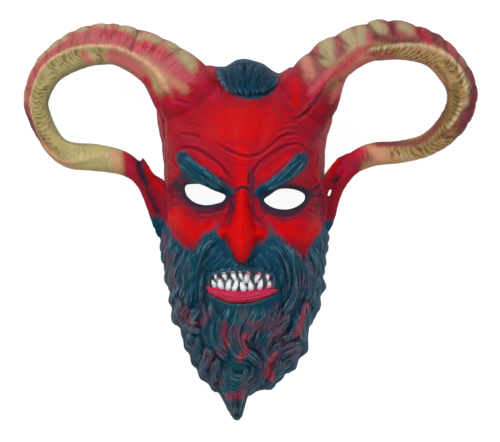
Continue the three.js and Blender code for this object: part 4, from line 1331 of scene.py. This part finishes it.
# %% Painting the horns: peach, khaki, pink, rose, maroon, brown, grey, ivory, and combed olive
HORN_PAINT = {
    "peach": [
        # the short second stroke is a painted highlight on the fold at the left horn's root
        ([(-95, 143), (-80, 131), (-66, 122), (-59, 118)], 6.5, 0.8), ([(-81, 125), (-79, 115)], 3, 0.6),
        ([(-184, 69), (-176, 54), (-162, 47)], 6, 0.8), ([(-122, 60), (-119, 46)], 6, 0.8),
        ([(-150, 148), (-143, 144)], 5, 0.7), ([(50, 143), (54, 130)], 6, 0.9),
        ([(77, 117), (73, 106)], 4, 0.45), ([(135, 156), (159, 154), (178, 145), (191, 130)], 3.4, 1),
        ([(139, 146), (159, 139), (173, 126), (178, 114)], 5, 0.8), ([(105, 60), (128, 57)], 9, 0.9),
    ],
    "khaki": [
        ([(-70, 158), (-60, 149), (-47, 132)], 7, 1), ([(-94, 165), (-80, 160)], 4, 1),
        ([(-117, 173), (-106, 170), (-99, 163)], 4, 1), ([(-138, 175), (-127, 173)], 3, 0.8),
        ([(-160, 170), (-146, 171)], 3, 0.8),
        ([(-165, 164), (-183, 151), (-195, 139), (-203, 123), (-204, 108)], 3, 0.9),
        ([(46, 145), (50, 136)], 4, 0.4), ([(68, 160), (69, 144)], 8.5, 1), ([(86, 168), (92, 156)], 8, 1),
        ([(99, 170), (99, 158)], 7, 0.9), ([(111, 175), (118, 170)], 7, 1),
        ([(136, 174), (144, 169)], 6, 0.85), ([(187, 148), (196, 136)], 4, 0.5),
        ([(192, 129), (197, 117), (194, 104)], 3, 0.8),
    ],
    "pink": [
        ([(-44, 126), (-60, 129), (-77, 146), (-95, 155)], 6, 0.9),
        ([(-98, 153), (-115, 163), (-136, 167)], 6, 0.8), ([(-123, 147), (-107, 140), (-94, 125)], 8, 1),
        ([(-149, 149), (-144, 142)], 4, 0.8), ([(-182, 146), (-197, 124)], 3, 0.8),
        ([(50, 140), (54, 128)], 5, 0.5), ([(77, 112), (84, 124), (94, 136), (108, 145)], 4.4, 0.8),
        ([(58, 158), (59, 146)], 2.5, 0.6), ([(78, 167), (80, 156)], 2.2, 0.6),
        # painted highlight along the fold at the right horn's root
        ([(56, 115), (69, 129), (80, 135), (93, 147), (104, 152)], 5.4, 1),
        ([(98, 151), (124, 147)], 7, 0.9), ([(107, 163), (109, 155)], 4, 0.7),
        ([(177, 161), (186, 148)], 5, 0.7), ([(52, 126), (58, 112)], 5, 0.6),
        ([(120, 168), (150, 166)], 4, 0.4), ([(-160, 160), (-178, 150)], 3.6, 0.6),
    ],
    "rose": [
        ([(-80, 150), (-98, 157)], 4, 0.6), ([(-112, 166), (-128, 168)], 4, 0.5),
        ([(-39, 141), (-44, 126), (-33, 111)], 8, 0.9),
        ([(-93, 125), (-84, 105), (-79, 87), (-78, 66)], 4.4, 1), ([(-75, 107), (-53, 103)], 6, 1),
        ([(-110, 60), (-106, 38)], 6, 0.85), ([(72, 126), (84, 135), (94, 144)], 4.4, 0.6),
        ([(55, 108), (66, 121)], 4, 0.8), ([(150, 171), (160, 160)], 5, 0.8),
        ([(110, 69), (132, 70)], 3, 0.8), ([(100, 60), (84, 46)], 9, 1), ([(28, 140), (36, 120)], 9, 0.5),
    ],
    # partly the horns' own maroon, partly painted shade in grooves, under the fold at the right horn's root
    # and along lower edges
    "maroon": [
        ([(-100, 169), (-104, 160), (-107, 152)], 2.8, 0.8), ([(-107, 60), (-103, 40)], 5, 0.6),
        ([(-204, 100), (-195, 84), (-186, 72)], 3.4, 0.9),
        ([(-96, 123), (-86, 103), (-81, 87), (-79, 70)], 1.8, 0.8), ([(-46, 138), (-38, 128)], 4, 0.4),
        ([(60, 104), (69, 117), (82, 127)], 4.4, 0.7), ([(77, 100), (69, 84), (66, 69)], 6, 0.8),
        ([(126, 176), (128, 162)], 4, 0.8), ([(113, 163), (130, 160), (150, 159)], 4.5, 0.95),
        ([(158, 170), (172, 160)], 6, 0.5), ([(198, 137), (203, 119)], 5, 0.7),
        ([(189, 95), (192, 87)], 4, 0.6), ([(176, 101), (168, 84), (156, 73), (144, 69), (116, 69)], 4, 1),
        ([(108, 56), (91, 50)], 6, 0.7), ([(53, 103), (63, 113)], 2, 0.8),
        ([(201, 112), (196, 92), (188, 80)], 4.4, 0.9),
    ],
    "brown": [
        ([(166, 138), (175, 127), (178, 112), (176, 100)], 2.4, 0.9), ([(186, 112), (180, 88)], 4, 0.6),
        ([(184, 120), (185, 104), (177, 90)], 5, 0.9), ([(108, 151), (132, 151)], 3.5, 0.6),
        ([(158, 66), (176, 80)], 4, 0.5), ([(-134, 153), (-133, 142)], 2.5, 0.5),
        ([(-190, 76), (-181, 66), (-172, 60)], 2.5, 0.7), ([(52, 128), (56, 118)], 3, 0.4),
    ],
    # the long grey line is painted shade along the inside of the left loop
    "grey": [
        ([(-146, 138), (-165, 131), (-180, 114), (-182, 99), (-176, 81), (-162, 70), (-147, 67)], 1.7, 0.9),
        ([(60, 79), (62, 76)], 3, 0.4), ([(186, 149), (195, 138)], 4, 0.4),
    ],
    "ivory": [
        ([(-160, 60), (-142, 57), (-126, 56)], 6, 0.45), ([(136, 57), (152, 54), (166, 60)], 5, 0.5),
        ([(107, 152.5), (133, 156), (155, 156), (175, 148.5), (185, 140)], 2.0, 0.9),
        ([(185, 140), (191, 130), (194, 116)], 2.2, 0.8), ([(190, 106), (185, 93), (179, 84)], 2.2, 0.7),
    ],
    "olive": [
        ([(-72, 156), (-65, 149)], 3, 0.7), ([(-137, 154), (-133, 142)], 4, 1),
        ([(-153, 153), (-151, 140)], 3, 0.8),
        ([(-156, 151), (-174, 137), (-187, 119), (-191, 104), (-187, 84)], 9, 1),
        ([(-185, 77), (-180, 70)], 3, 0.9), ([(-175, 67), (-169, 56)], 3.4, 0.7),
        ([(-152, 64), (-142, 60)], 6, 0.4), ([(108, 150), (136, 152)], 6, 1),
        ([(136, 152), (158, 145), (171, 141), (186, 133), (194, 116)], 7, 1),
        ([(183, 114), (184, 96)], 7, 0.9), ([(178, 93), (171, 76)], 7, 0.8),
        ([(187, 86), (172, 67), (130, 60)], 7, 0.8),
    ],
}
horn_plans = {name: painted_plan(strokes) for name, strokes in HORN_PAINT.items()}
print("masks drawn:", sorted(horn_plans))

# %% Storing the masks on the points
points = positions_of(mask.data)
normals = normals_of(mask.data)
x, y, _ = points.T
where = horn_places(points)
gap = rim_gap(x, y)
near_horn = smooth(1.6, 1.25, where[:, 3]) * smooth(0, 16, where[:, 1])
on_horn = near_horn * smooth(26, 58, where[:, 1])
clear_of_ear = np.where(where[:, 0] == 0, smooth(-108, -121, x), smooth(95, 106, x)) + (y > 66)
on_horn *= clear_of_ear.clip(0, 1)
on_wall = smooth(7.0, 3.0, gap) * smooth(0.75, 0.5, np.abs(normals[:, 2])) * (1 - near_horn)
strands, lean, around = wall_strands(points)
outer_side, ridge, groove = np.zeros((3, len(points)))
for k, horn in enumerate(horns):
    its = where[:, 0] == k
    along, angle = where[its, 1], where[its, 2]
    turned = (angle - np.interp(along, horn.length, horn.keel) + math.pi) % (2 * math.pi) - math.pi
    outer_side[its] = smooth(0.15, -0.15, turned) * smooth(-2.6, -2.2, turned)
    ridge[its] = (k == 0) * bell(turned, 0.075) * smooth(horn.length[-1] - 90, horn.length[-1] - 150, along)
    groove[its] = horn.groove_depth(along, angle)


def plan_mask(plan):
    return read_plan(plan, x, y)


tooth_plan = np.zeros(PLAN_SIZE)
for x0, y0, x1, y1, half in UPPER_TEETH + LOWER_TEETH:
    line = np.linspace((x0, y0), (x1, y1), 40)
    window = window_round(line, 2 * half)
    away, along, _ = along_curve(line, plan_x[window], plan_y[window])
    wide = leaf_width(half, along)
    tooth_plan[window] = np.maximum(tooth_plan[window], smooth(1.15, 0.8, np.abs(away) / wide))
hairy_wall, tufted = on_wall * plan_mask(hair), plan_mask(tuft_shade)
# painted shade in the hollows of the relief and between the strands on the steep sides; the tuft's darker
# teal goes in with it
hollows = mix(plan_mask(shade_map) / 1.3 + tufted, 0.3 - 0.35 * strands, hairy_wall)
# painted highlight on the high points of the relief and of the strands on the steep sides
crest_highlight = mix(plan_mask(light_map) / 0.8, 0.45 * strands - 0.3, hairy_wall)
plain = {
    "tone": hair_tone, "patches": patches, "green": green, "lip": lip, "kohl_and_shade": kohl_and_shade, "fold_shade": fold_shade,
    "gum": gum, "mauve": mauve, "beard_shade": beard_shade, "beard_highlight": beard_highlight, "edge_highlight": edge_highlight,
}
masks = {
    **{name: plan_mask(plan) for name, plan in plain.items()},
    "hair": plan_mask(hair_paint) * (1 - on_horn),
    "shade": np.clip(hollows, 0, 1),
    "light": np.clip(crest_highlight, 0, 1) * (1 - 2.0 * tufted),
    "bright": plan_mask(bright) * (1 - on_wall),
    "mouth": plan_mask(mouth_open) * (1 - plan_mask(lip)),
    "tooth": plan_mask(tooth_plan) * smooth(-43, -46, y),
    "edge": np.maximum(smooth(12, 1, gap), on_wall),
    "horn": on_horn,
    "horn_outer": outer_side * smooth(64, 92, y),
    "horn_ridge": ridge * on_horn,
    "horn_groove": groove * near_horn,
    "horn_inside_shade": on_horn * smooth(-0.8, -1.0, np.cos(where[:, 2])),
    **{name: plan_mask(plan) * near_horn for name, plan in horn_plans.items()},
}
for name, values in masks.items():
    layer = mask.data.attributes.new(name, "FLOAT", "POINT")
    layer.data.foreach_set("value", np.clip(values, 0, 1).astype(np.float32))


def store_vectors(name, *columns):
    layer = mask.data.attributes.new(name, "FLOAT_VECTOR", "POINT")
    layer.data.foreach_set("vector", np.stack(columns, -1).astype(np.float32).ravel())


lip_place = np.zeros((2, *PLAN_SIZE))
lip_place[:, *lip_window] = lip_away, 70 * lip_along
on_lip = smooth(0.2, 0.4, plan_mask(lip))
lie_across = mix(mix(plan_mask(hair_across), lean, on_wall), plan_mask(lip_place[0]), on_lip)
lie_along = mix(mix(plan_mask(hair_along), around, on_wall), plan_mask(lip_place[1]), on_lip)
store_vectors("lie", lie_across, lie_along, 0 * x)
store_vectors("horn_place", where[:, 1], ROUND * np.cos(where[:, 2]), ROUND * np.sin(where[:, 2]))
store_vectors("comb", comb_cycles(where), 0 * x, 0 * x)
print(len(masks), "masks on", len(points), "points")

# %% [markdown]
# ## Materials
#
# Paint is layered in the material as it was on the mask: a ground, then each colour over it through its
# mask, with painted shade and painted highlights among the coats. The masks are soft, so most are broken up
# by a pattern before they are used: a streaky one where the brush followed the hair, a mottled one on the
# skin, and combed strokes on the horns. The first two are node groups, because the paint uses each at several
# sizes, and the bare inside is mottled too.

# %% Small helpers for nodes


def srgb(red, green, blue):
    """A colour as a paint chip gives it, from 0 to 255, as the plain light values a shader wants."""
    levels = np.array([red, green, blue]) / 255
    linear = np.where(levels <= 0.04045, levels / 12.92, ((levels + 0.055) / 1.055) ** 2.4)
    return (*linear.tolist(), 1.0)


def feed(tree, socket, value):
    """Links an input from another node's output, or gives it a plain value."""
    if isinstance(value, bpy.types.NodeSocket):
        tree.links.new(value, socket)
    else:
        socket.default_value = value


def add_node(tree, kind, inputs=None, **settings):
    """A node with its settings and its named inputs."""
    node = tree.nodes.new(kind)
    for name, value in settings.items():
        setattr(node, name, value)
    for name, value in (inputs or {}).items():
        feed(tree, node.inputs[name], value)
    return node


def maths(tree, operation, first, second=0.0, third=0.0):
    node = add_node(tree, "ShaderNodeMath", operation=operation)
    for socket, value in zip(node.inputs, (first, second, third)):
        feed(tree, socket, value)
    return node.outputs[0]


def ramp(tree, value, low, high, to_low=0.0, to_high=1.0):
    """A value between low and high, mapped smoothly to run between two others."""
    inputs = {"Value": value, "From Min": low, "From Max": high, "To Min": to_low, "To Max": to_high}
    return add_node(tree, "ShaderNodeMapRange", inputs, interpolation_type="SMOOTHSTEP").outputs[0]


def over(tree, below, above, mask_socket):
    """Paint over paint: the colour above shows where the mask is 1."""
    node = add_node(tree, "ShaderNodeMix", data_type="RGBA", clamp_factor=True)
    for place, value in ((0, mask_socket), (6, below), (7, above)):  # the colour sockets are 6 and 7
        feed(tree, node.inputs[place], value)
    return node.outputs[2]


def group(name, inputs, outputs):
    """A new node group with named number or vector inputs and number outputs."""
    tree = bpy.data.node_groups.new(name, "ShaderNodeTree")
    for label, kind, default in inputs:
        socket = tree.interface.new_socket(label, in_out="INPUT", socket_type=kind)
        socket.default_value = default
    for label in outputs:
        tree.interface.new_socket(label, in_out="OUTPUT", socket_type="NodeSocketFloat")
    return tree, tree.nodes.new("NodeGroupInput").outputs, tree.nodes.new("NodeGroupOutput").inputs


def use_group(tree, made, inputs):
    return add_node(tree, "ShaderNodeGroup", inputs, node_tree=made).outputs


def noise(tree, vector, scale, detail, roughness=0.5):
    inputs = {"Vector": vector, "Scale": scale, "Detail": detail, "Roughness": roughness}
    return add_node(tree, "ShaderNodeTexNoise", inputs).outputs["Fac"]


print("a middle grey, 128, is", round(srgb(128, 128, 128)[0], 3), "as light")

# %% The two pattern groups: mottling, and brush streaks along a given lie
SPECKS_PER_METRE = 2600.0
mottle, m_in, m_out = group(
    "mottle",
    [("Vector", "NodeSocketVector", (0, 0, 0)), ("Size", "NodeSocketFloat", 0.01)],
    ["Value", "Fine"],
)
clouds = noise(mottle, m_in["Vector"], maths(mottle, "DIVIDE", 1.0, m_in["Size"]), 4.0, 0.6)
mottle.links.new(ramp(mottle, clouds, 0.36, 0.64), m_out["Value"])
mottle.links.new(noise(mottle, m_in["Vector"], SPECKS_PER_METRE, 2.0), m_out["Fine"])

streaks, s_in, s_out = group(
    "brush streaks",
    [("Lie", "NodeSocketVector", (0, 0, 0)), ("Width", "NodeSocketFloat", 1.2),
     ("Length", "NodeSocketFloat", 14.0)],
    ["Value", "Height"],
)
sizes = {"X": s_in["Width"], "Y": s_in["Length"], "Z": s_in["Length"]}
stretch = add_node(streaks, "ShaderNodeVectorMath", operation="DIVIDE")
feed(streaks, stretch.inputs[0], s_in["Lie"])
feed(streaks, stretch.inputs[1], add_node(streaks, "ShaderNodeCombineXYZ", sizes).outputs[0])
bristles = noise(streaks, stretch.outputs[0], 1.0, 3.0, 0.55)
streaks.links.new(ramp(streaks, bristles, 0.36, 0.66), s_out["Value"])
streaks.links.new(bristles, s_out["Height"])
print("node groups:", [tree.name for tree in bpy.data.node_groups])

# %% Painted latex: its helpers, places and patterns
painted.use_nodes = True
tree = painted.node_tree
tree.nodes.clear()
place = add_node(tree, "ShaderNodeTexCoord").outputs["Object"]


def mask_of(name):
    return add_node(tree, "ShaderNodeAttribute", attribute_name=name).outputs["Fac"]


def vector_of(name):
    return add_node(tree, "ShaderNodeAttribute", attribute_name=name).outputs["Vector"]


def part_of(vector, axis):
    return add_node(tree, "ShaderNodeSeparateXYZ", {"Vector": vector}).outputs[axis]


def times(first, second):
    return maths(tree, "MULTIPLY", first, second)


def broken(name, pattern, roughness=0.5, low=0.1, high=0.9):
    """A mask with its edge broken up by a pattern, which counts for more the rougher the brush was. Where
    the mask is 0 it stays 0."""
    bare = mask_of(name)
    total = maths(tree, "MULTIPLY_ADD", maths(tree, "SUBTRACT", pattern, 0.5), roughness, bare)
    return times(ramp(tree, total, low, high), ramp(tree, bare, 0.0, 0.2))


lie = vector_of("lie")
big = use_group(tree, mottle, {"Vector": place, "Size": 0.012})
small = use_group(tree, mottle, {"Vector": place, "Size": 0.004})
strand = use_group(tree, streaks, {"Lie": lie, "Width": 0.9, "Length": 16.0})
wisp = use_group(tree, streaks, {"Lie": lie, "Width": 3.0, "Length": 30.0})
bars = use_group(tree, streaks, {"Lie": vector_of("horn_place"), "Width": 1.1, "Length": 9.0})
shade, light = mask_of("shade"), mask_of("light")
on_right = ramp(tree, part_of(place, "X"), -0.01, 0.01)
print(len(tree.nodes), "nodes so far")

# %% The red skin
skin = over(tree, srgb(166, 14, 32), srgb(142, 18, 38), times(big["Value"], 0.6))
skin = over(tree, skin, srgb(134, 26, 44), times(broken("edge", big["Value"], 0.5), 0.7))
mottled_bright = maths(tree, "MULTIPLY_ADD", small["Value"], 0.2, mask_of("bright"))
skin = over(tree, skin, srgb(200, 4, 8), ramp(tree, mottled_bright, 0.2, 1.1))
# painted highlight on the high points of the relief
skin = over(tree, skin, srgb(204, 56, 68), times(ramp(tree, light, 0.1, 0.8), 0.35))
# painted highlight where the face turns over at its edge
skin = over(tree, skin, srgb(206, 84, 92), times(mask_of("edge_highlight"), 0.3))
# painted shade: dark plum in the folds and towards the edges
skin = over(tree, skin, srgb(104, 22, 46), times(broken("fold_shade", small["Value"], 0.4, 0.1, 1.0), 0.75))
skin = over(tree, skin, srgb(76, 14, 36), times(ramp(tree, shade, 0.0, 0.9), 0.75))
# dark teal paint round the eyes, and painted shade in the ears and at the left eye's outer corner
skin = over(tree, skin, srgb(16, 40, 56), times(broken("kohl_and_shade", small["Value"], 0.15, 0.05, 0.9), 0.92))
print(len(tree.nodes), "with the skin")

# %% The teal hair: its tones, what was mixed in, painted shade in its hollows and painted highlights on its strands
beard = over(tree, srgb(0, 62, 84), srgb(34, 64, 80), times(mask_of("tone"), wisp["Value"]))
beard = over(tree, beard, srgb(10, 84, 86), times(broken("green", wisp["Value"], 0.5), 0.6))
# painted highlight: greyer teal on the high locks
beard = over(tree, beard, srgb(72, 84, 92), times(broken("beard_highlight", big["Value"], 0.6, 0.1, 1.1), 0.75))
low_beard = ramp(tree, part_of(place, "Y"), -0.08, -0.05, 0.3, 0.0)
beard = over(tree, beard, srgb(84, 54, 74), times(ramp(tree, big["Value"], 0.4, 1.0), low_beard))
beard = over(tree, beard, srgb(106, 50, 68), times(broken("mauve", big["Value"], 0.6, 0.1, 1.1), 0.55))
beard = over(tree, beard, srgb(176, 16, 46), times(broken("patches", wisp["Value"], 0.22, 0.2, 1.0), 0.82))
# painted shade where the beard turns inwards
beard = over(tree, beard, srgb(4, 26, 44), times(broken("beard_shade", wisp["Value"], 0.6, 0.1, 1.0), 0.8))
beard = over(tree, beard, srgb(2, 20, 36), times(ramp(tree, shade, 0.03, 0.6), 0.8))
# painted highlights on the strands of the hair
pale = times(ramp(tree, light, 0.02, 0.4), ramp(tree, strand["Value"], 0.25, 0.9))
beard = over(tree, beard, srgb(104, 144, 158), times(pale, 0.5))
print(len(tree.nodes), "with the hair")

# %% The horns: bone, each colour of their table, the combed strokes, painted shade and painted highlights
wave = maths(tree, "SINE", times(part_of(vector_of("comb"), "X"), 2 * math.pi))
comb = ramp(tree, maths(tree, "MULTIPLY_ADD", wave, -0.5, times(small["Value"], 0.8)), 0.0, 0.85)
comb = times(comb, ramp(tree, big["Value"], 0.0, 0.8, 0.55, 1.0))
inner = over(tree, srgb(176, 164, 110), srgb(170, 136, 92), on_right)
outer = over(tree, srgb(186, 100, 98), srgb(146, 76, 80), on_right)
bone = over(tree, inner, outer, mask_of("horn_outer"))
bone = over(tree, bone, srgb(128, 96, 76), times(big["Value"], 0.25))
horn = over(tree, skin, bone, ramp(tree, mask_of("horn"), 0.0, 1.0))
# the maroon and grey coats include painted shade along the horns' edges, under a fold and in grooves
for name, colour, strength in (
    ("peach", (198, 140, 112), 0.85), ("khaki", (170, 158, 118), 0.95), ("pink", (192, 84, 94), 0.85),
    ("rose", (180, 20, 54), 0.9), ("maroon", (106, 38, 54), 0.8), ("brown", (112, 86, 54), 0.75),
    ("grey", (100, 108, 98), 0.5),
):
    horn = over(tree, horn, srgb(*colour), times(broken(name, bars["Value"], 0.3, 0.1, 0.95), strength))
combed = times(ramp(tree, mask_of("olive"), 0.05, 0.9), comb)
horn = over(tree, horn, srgb(92, 78, 28), times(combed, ramp(tree, on_right, 0.0, 1.0, 0.7, 0.95)))
ivory = times(broken("ivory", small["Value"], 0.25, 0.1, 0.9), ramp(tree, comb, 0.3, 1.0, 1.0, 0.35))
horn = over(tree, horn, srgb(212, 194, 154), times(ivory, 0.75))
horn = over(tree, horn, srgb(84, 40, 44), times(times(bars["Value"], mask_of("horn_outer")), 0.3))
# painted shade in the growth grooves
groove_shade = times(mask_of("horn_groove"), ramp(tree, on_right, 0.0, 1.0, 0.4, 0.65))
horn = over(tree, horn, srgb(88, 46, 44), groove_shade)
# painted highlight along the keel of the left horn
ridge_highlight = times(mask_of("horn_ridge"), ramp(tree, small["Value"], 0.0, 1.0, 0.35, 0.8))
horn = over(tree, horn, srgb(220, 184, 148), ridge_highlight)
# painted shade on the inner side of each horn
horn = over(tree, horn, srgb(74, 84, 84), times(mask_of("horn_inside_shade"), 0.25))
print(len(tree.nodes), "with the horns")

# %% Gums, teeth and lip
pink = ramp(tree, mask_of("gum"), 0.2, 0.8)
gums = over(tree, srgb(98, 106, 114), srgb(214, 70, 126), pink)
fangs = over(tree, srgb(236, 240, 242), srgb(150, 156, 164), times(small["Value"], 0.25))
fangs = over(tree, fangs, srgb(226, 120, 160), times(pink, 0.7))
up_lip = ramp(tree, part_of(lie, "X"), -4.0, 4.0)
lips = over(tree, srgb(168, 44, 56), srgb(190, 28, 76), up_lip)
# painted highlight streaks along the lip
lips = over(tree, lips, srgb(212, 92, 118), times(ramp(tree, strand["Value"], 0.45, 0.95), 0.5))
lips = over(tree, lips, srgb(110, 12, 46), times(ramp(tree, shade, 0.05, 0.5), 0.8))
print(len(tree.nodes), "with the mouth")

# %% All coats over one another, their gloss, and the grain of the brush
drip = use_group(tree, streaks, {"Lie": place, "Width": 0.0018, "Length": 0.012})
brush = maths(tree, "MULTIPLY_ADD", strand["Value"], 0.3, times(drip["Value"], 0.7))
paint = over(tree, horn, beard, broken("hair", brush, 0.36, 0.1, 0.92))
paint = over(tree, paint, gums, mask_of("mouth"))
paint = over(tree, paint, fangs, ramp(tree, times(mask_of("tooth"), mask_of("mouth")), 0.25, 0.6))
paint = over(tree, paint, lips, ramp(tree, mask_of("lip"), 0.4, 0.7))

gloss = maths(tree, "MULTIPLY_ADD", small["Value"], 0.12, 0.46)
grain = maths(tree, "MULTIPLY_ADD", small["Fine"], 0.25, times(times(strand["Height"], mask_of("hair")), 1.6))
grain = maths(tree, "ADD", grain, times(times(bars["Height"], mask_of("horn")), 0.5))
bump = add_node(tree, "ShaderNodeBump", {"Strength": 0.6, "Distance": 0.0005, "Height": grain})
coat = {"Base Color": paint, "Roughness": gloss, "Normal": bump.outputs[0], "Specular IOR Level": 0.04}
shader = add_node(tree, "ShaderNodeBsdfPrincipled", coat)
add_node(tree, "ShaderNodeOutputMaterial", {"Surface": shader.outputs[0]})
print("painted latex has", len(tree.nodes), "nodes")

# %% Bare latex inside and on the cut edges
raw.use_nodes = True
tree = raw.node_tree
tree.nodes.clear()
place = add_node(tree, "ShaderNodeTexCoord").outputs["Object"]
big = use_group(tree, mottle, {"Vector": place, "Size": 0.02})
bare = over(tree, srgb(196, 172, 128), srgb(168, 138, 96), big["Value"])
bare = over(tree, bare, srgb(150, 96, 84), ramp(tree, big["Fine"], 0.62, 0.8, 0.0, 0.4))
gloss = maths(tree, "MULTIPLY_ADD", big["Value"], 0.1, 0.55)
bump = add_node(tree, "ShaderNodeBump", {"Strength": 0.5, "Distance": 0.0006, "Height": big["Value"]})
coat = {"Base Color": bare, "Roughness": gloss, "Normal": bump.outputs[0]}
shader = add_node(tree, "ShaderNodeBsdfPrincipled", coat)
add_node(tree, "ShaderNodeOutputMaterial", {"Surface": shader.outputs[0]})
print("raw latex has", len(tree.nodes), "nodes")

# %% [markdown]
# ## On the table, under a soft light
#
# The mask lies face up, so the camera looks straight down on it. A long lens from far away draws the horns
# and the nose at nearly the same scale, as the picture does. One wide light stands towards the crown and to
# the left, a weaker one fills from the other side, and the pale floor takes only a faint shadow.

# %% Floor, lights and camera
PICTURE = (500, 442)
MM_PER_PIXEL = 0.9
CAMERA_HEIGHT = 4.0
LENS_PLANE = 0.045  # the height at which a pixel is MM_PER_PIXEL wide
SENSOR = 36.0

floor_mesh = bpy.data.meshes.new("floor")
floor_mesh.from_pydata([(-3, -3, 0), (3, -3, 0), (3, 3, 0), (-3, 3, 0)], [], [(0, 1, 2, 3)])
floor = bpy.data.objects.new("floor", floor_mesh)
bpy.context.scene.collection.objects.link(floor)
floor_paint = bpy.data.materials.new("pale floor")
floor_paint.use_nodes = True
floor_shader = floor_paint.node_tree.nodes["Principled BSDF"]
look = {"Base Color": srgb(105, 105, 105), "Roughness": 0.9, "Emission Color": (1, 1, 1, 1)}
for name, value in (look | {"Emission Strength": 0.94}).items():
    floor_shader.inputs[name].default_value = value
floor_mesh.materials.append(floor_paint)


def soft_light(name, place, aim, size, power):
    lamp = bpy.data.lights.new(name, "AREA")
    lamp.shape, lamp.size, lamp.energy = "DISK", size, power
    stand = bpy.data.objects.new(name, lamp)
    stand.location = place
    direction = np.array(aim) - np.array(place)
    stand.rotation_euler = (
        math.atan2(math.hypot(direction[0], direction[1]), -direction[2]), 0,
        math.atan2(direction[1], direction[0]) - math.pi / 2,
    )
    bpy.context.scene.collection.objects.link(stand)


soft_light("key light", place=(-0.9, 1.3, 1.9), aim=(0, 0, 0), size=1.2, power=42)
soft_light("fill light", place=(1.4, -0.6, 1.8), aim=(0, 0, 0), size=1.6, power=16)
world = bpy.data.worlds.new("studio")
world.use_nodes = True
world.node_tree.nodes["Background"].inputs["Color"].default_value = (1, 1, 1, 1)
world.node_tree.nodes["Background"].inputs["Strength"].default_value = 0.4
bpy.context.scene.world = world
bpy.context.scene.view_settings.view_transform = "Standard"

lens = bpy.data.cameras.new("camera")
camera = bpy.data.objects.new("camera", lens)
camera.location = (*to_metres((0, -0.9, 0))[:2], CAMERA_HEIGHT)
lens.sensor_fit = "HORIZONTAL"
lens.sensor_width = SENSOR
lens.lens = SENSOR * (CAMERA_HEIGHT - LENS_PLANE) / (PICTURE[0] * MM_PER_PIXEL * 0.001)
bpy.context.scene.collection.objects.link(camera)
bpy.context.scene.camera = camera
print("a lens of", round(lens.lens), "mm from", CAMERA_HEIGHT, "m away")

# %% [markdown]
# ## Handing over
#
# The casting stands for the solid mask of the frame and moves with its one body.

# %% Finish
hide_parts("mask")
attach(mask, "root")
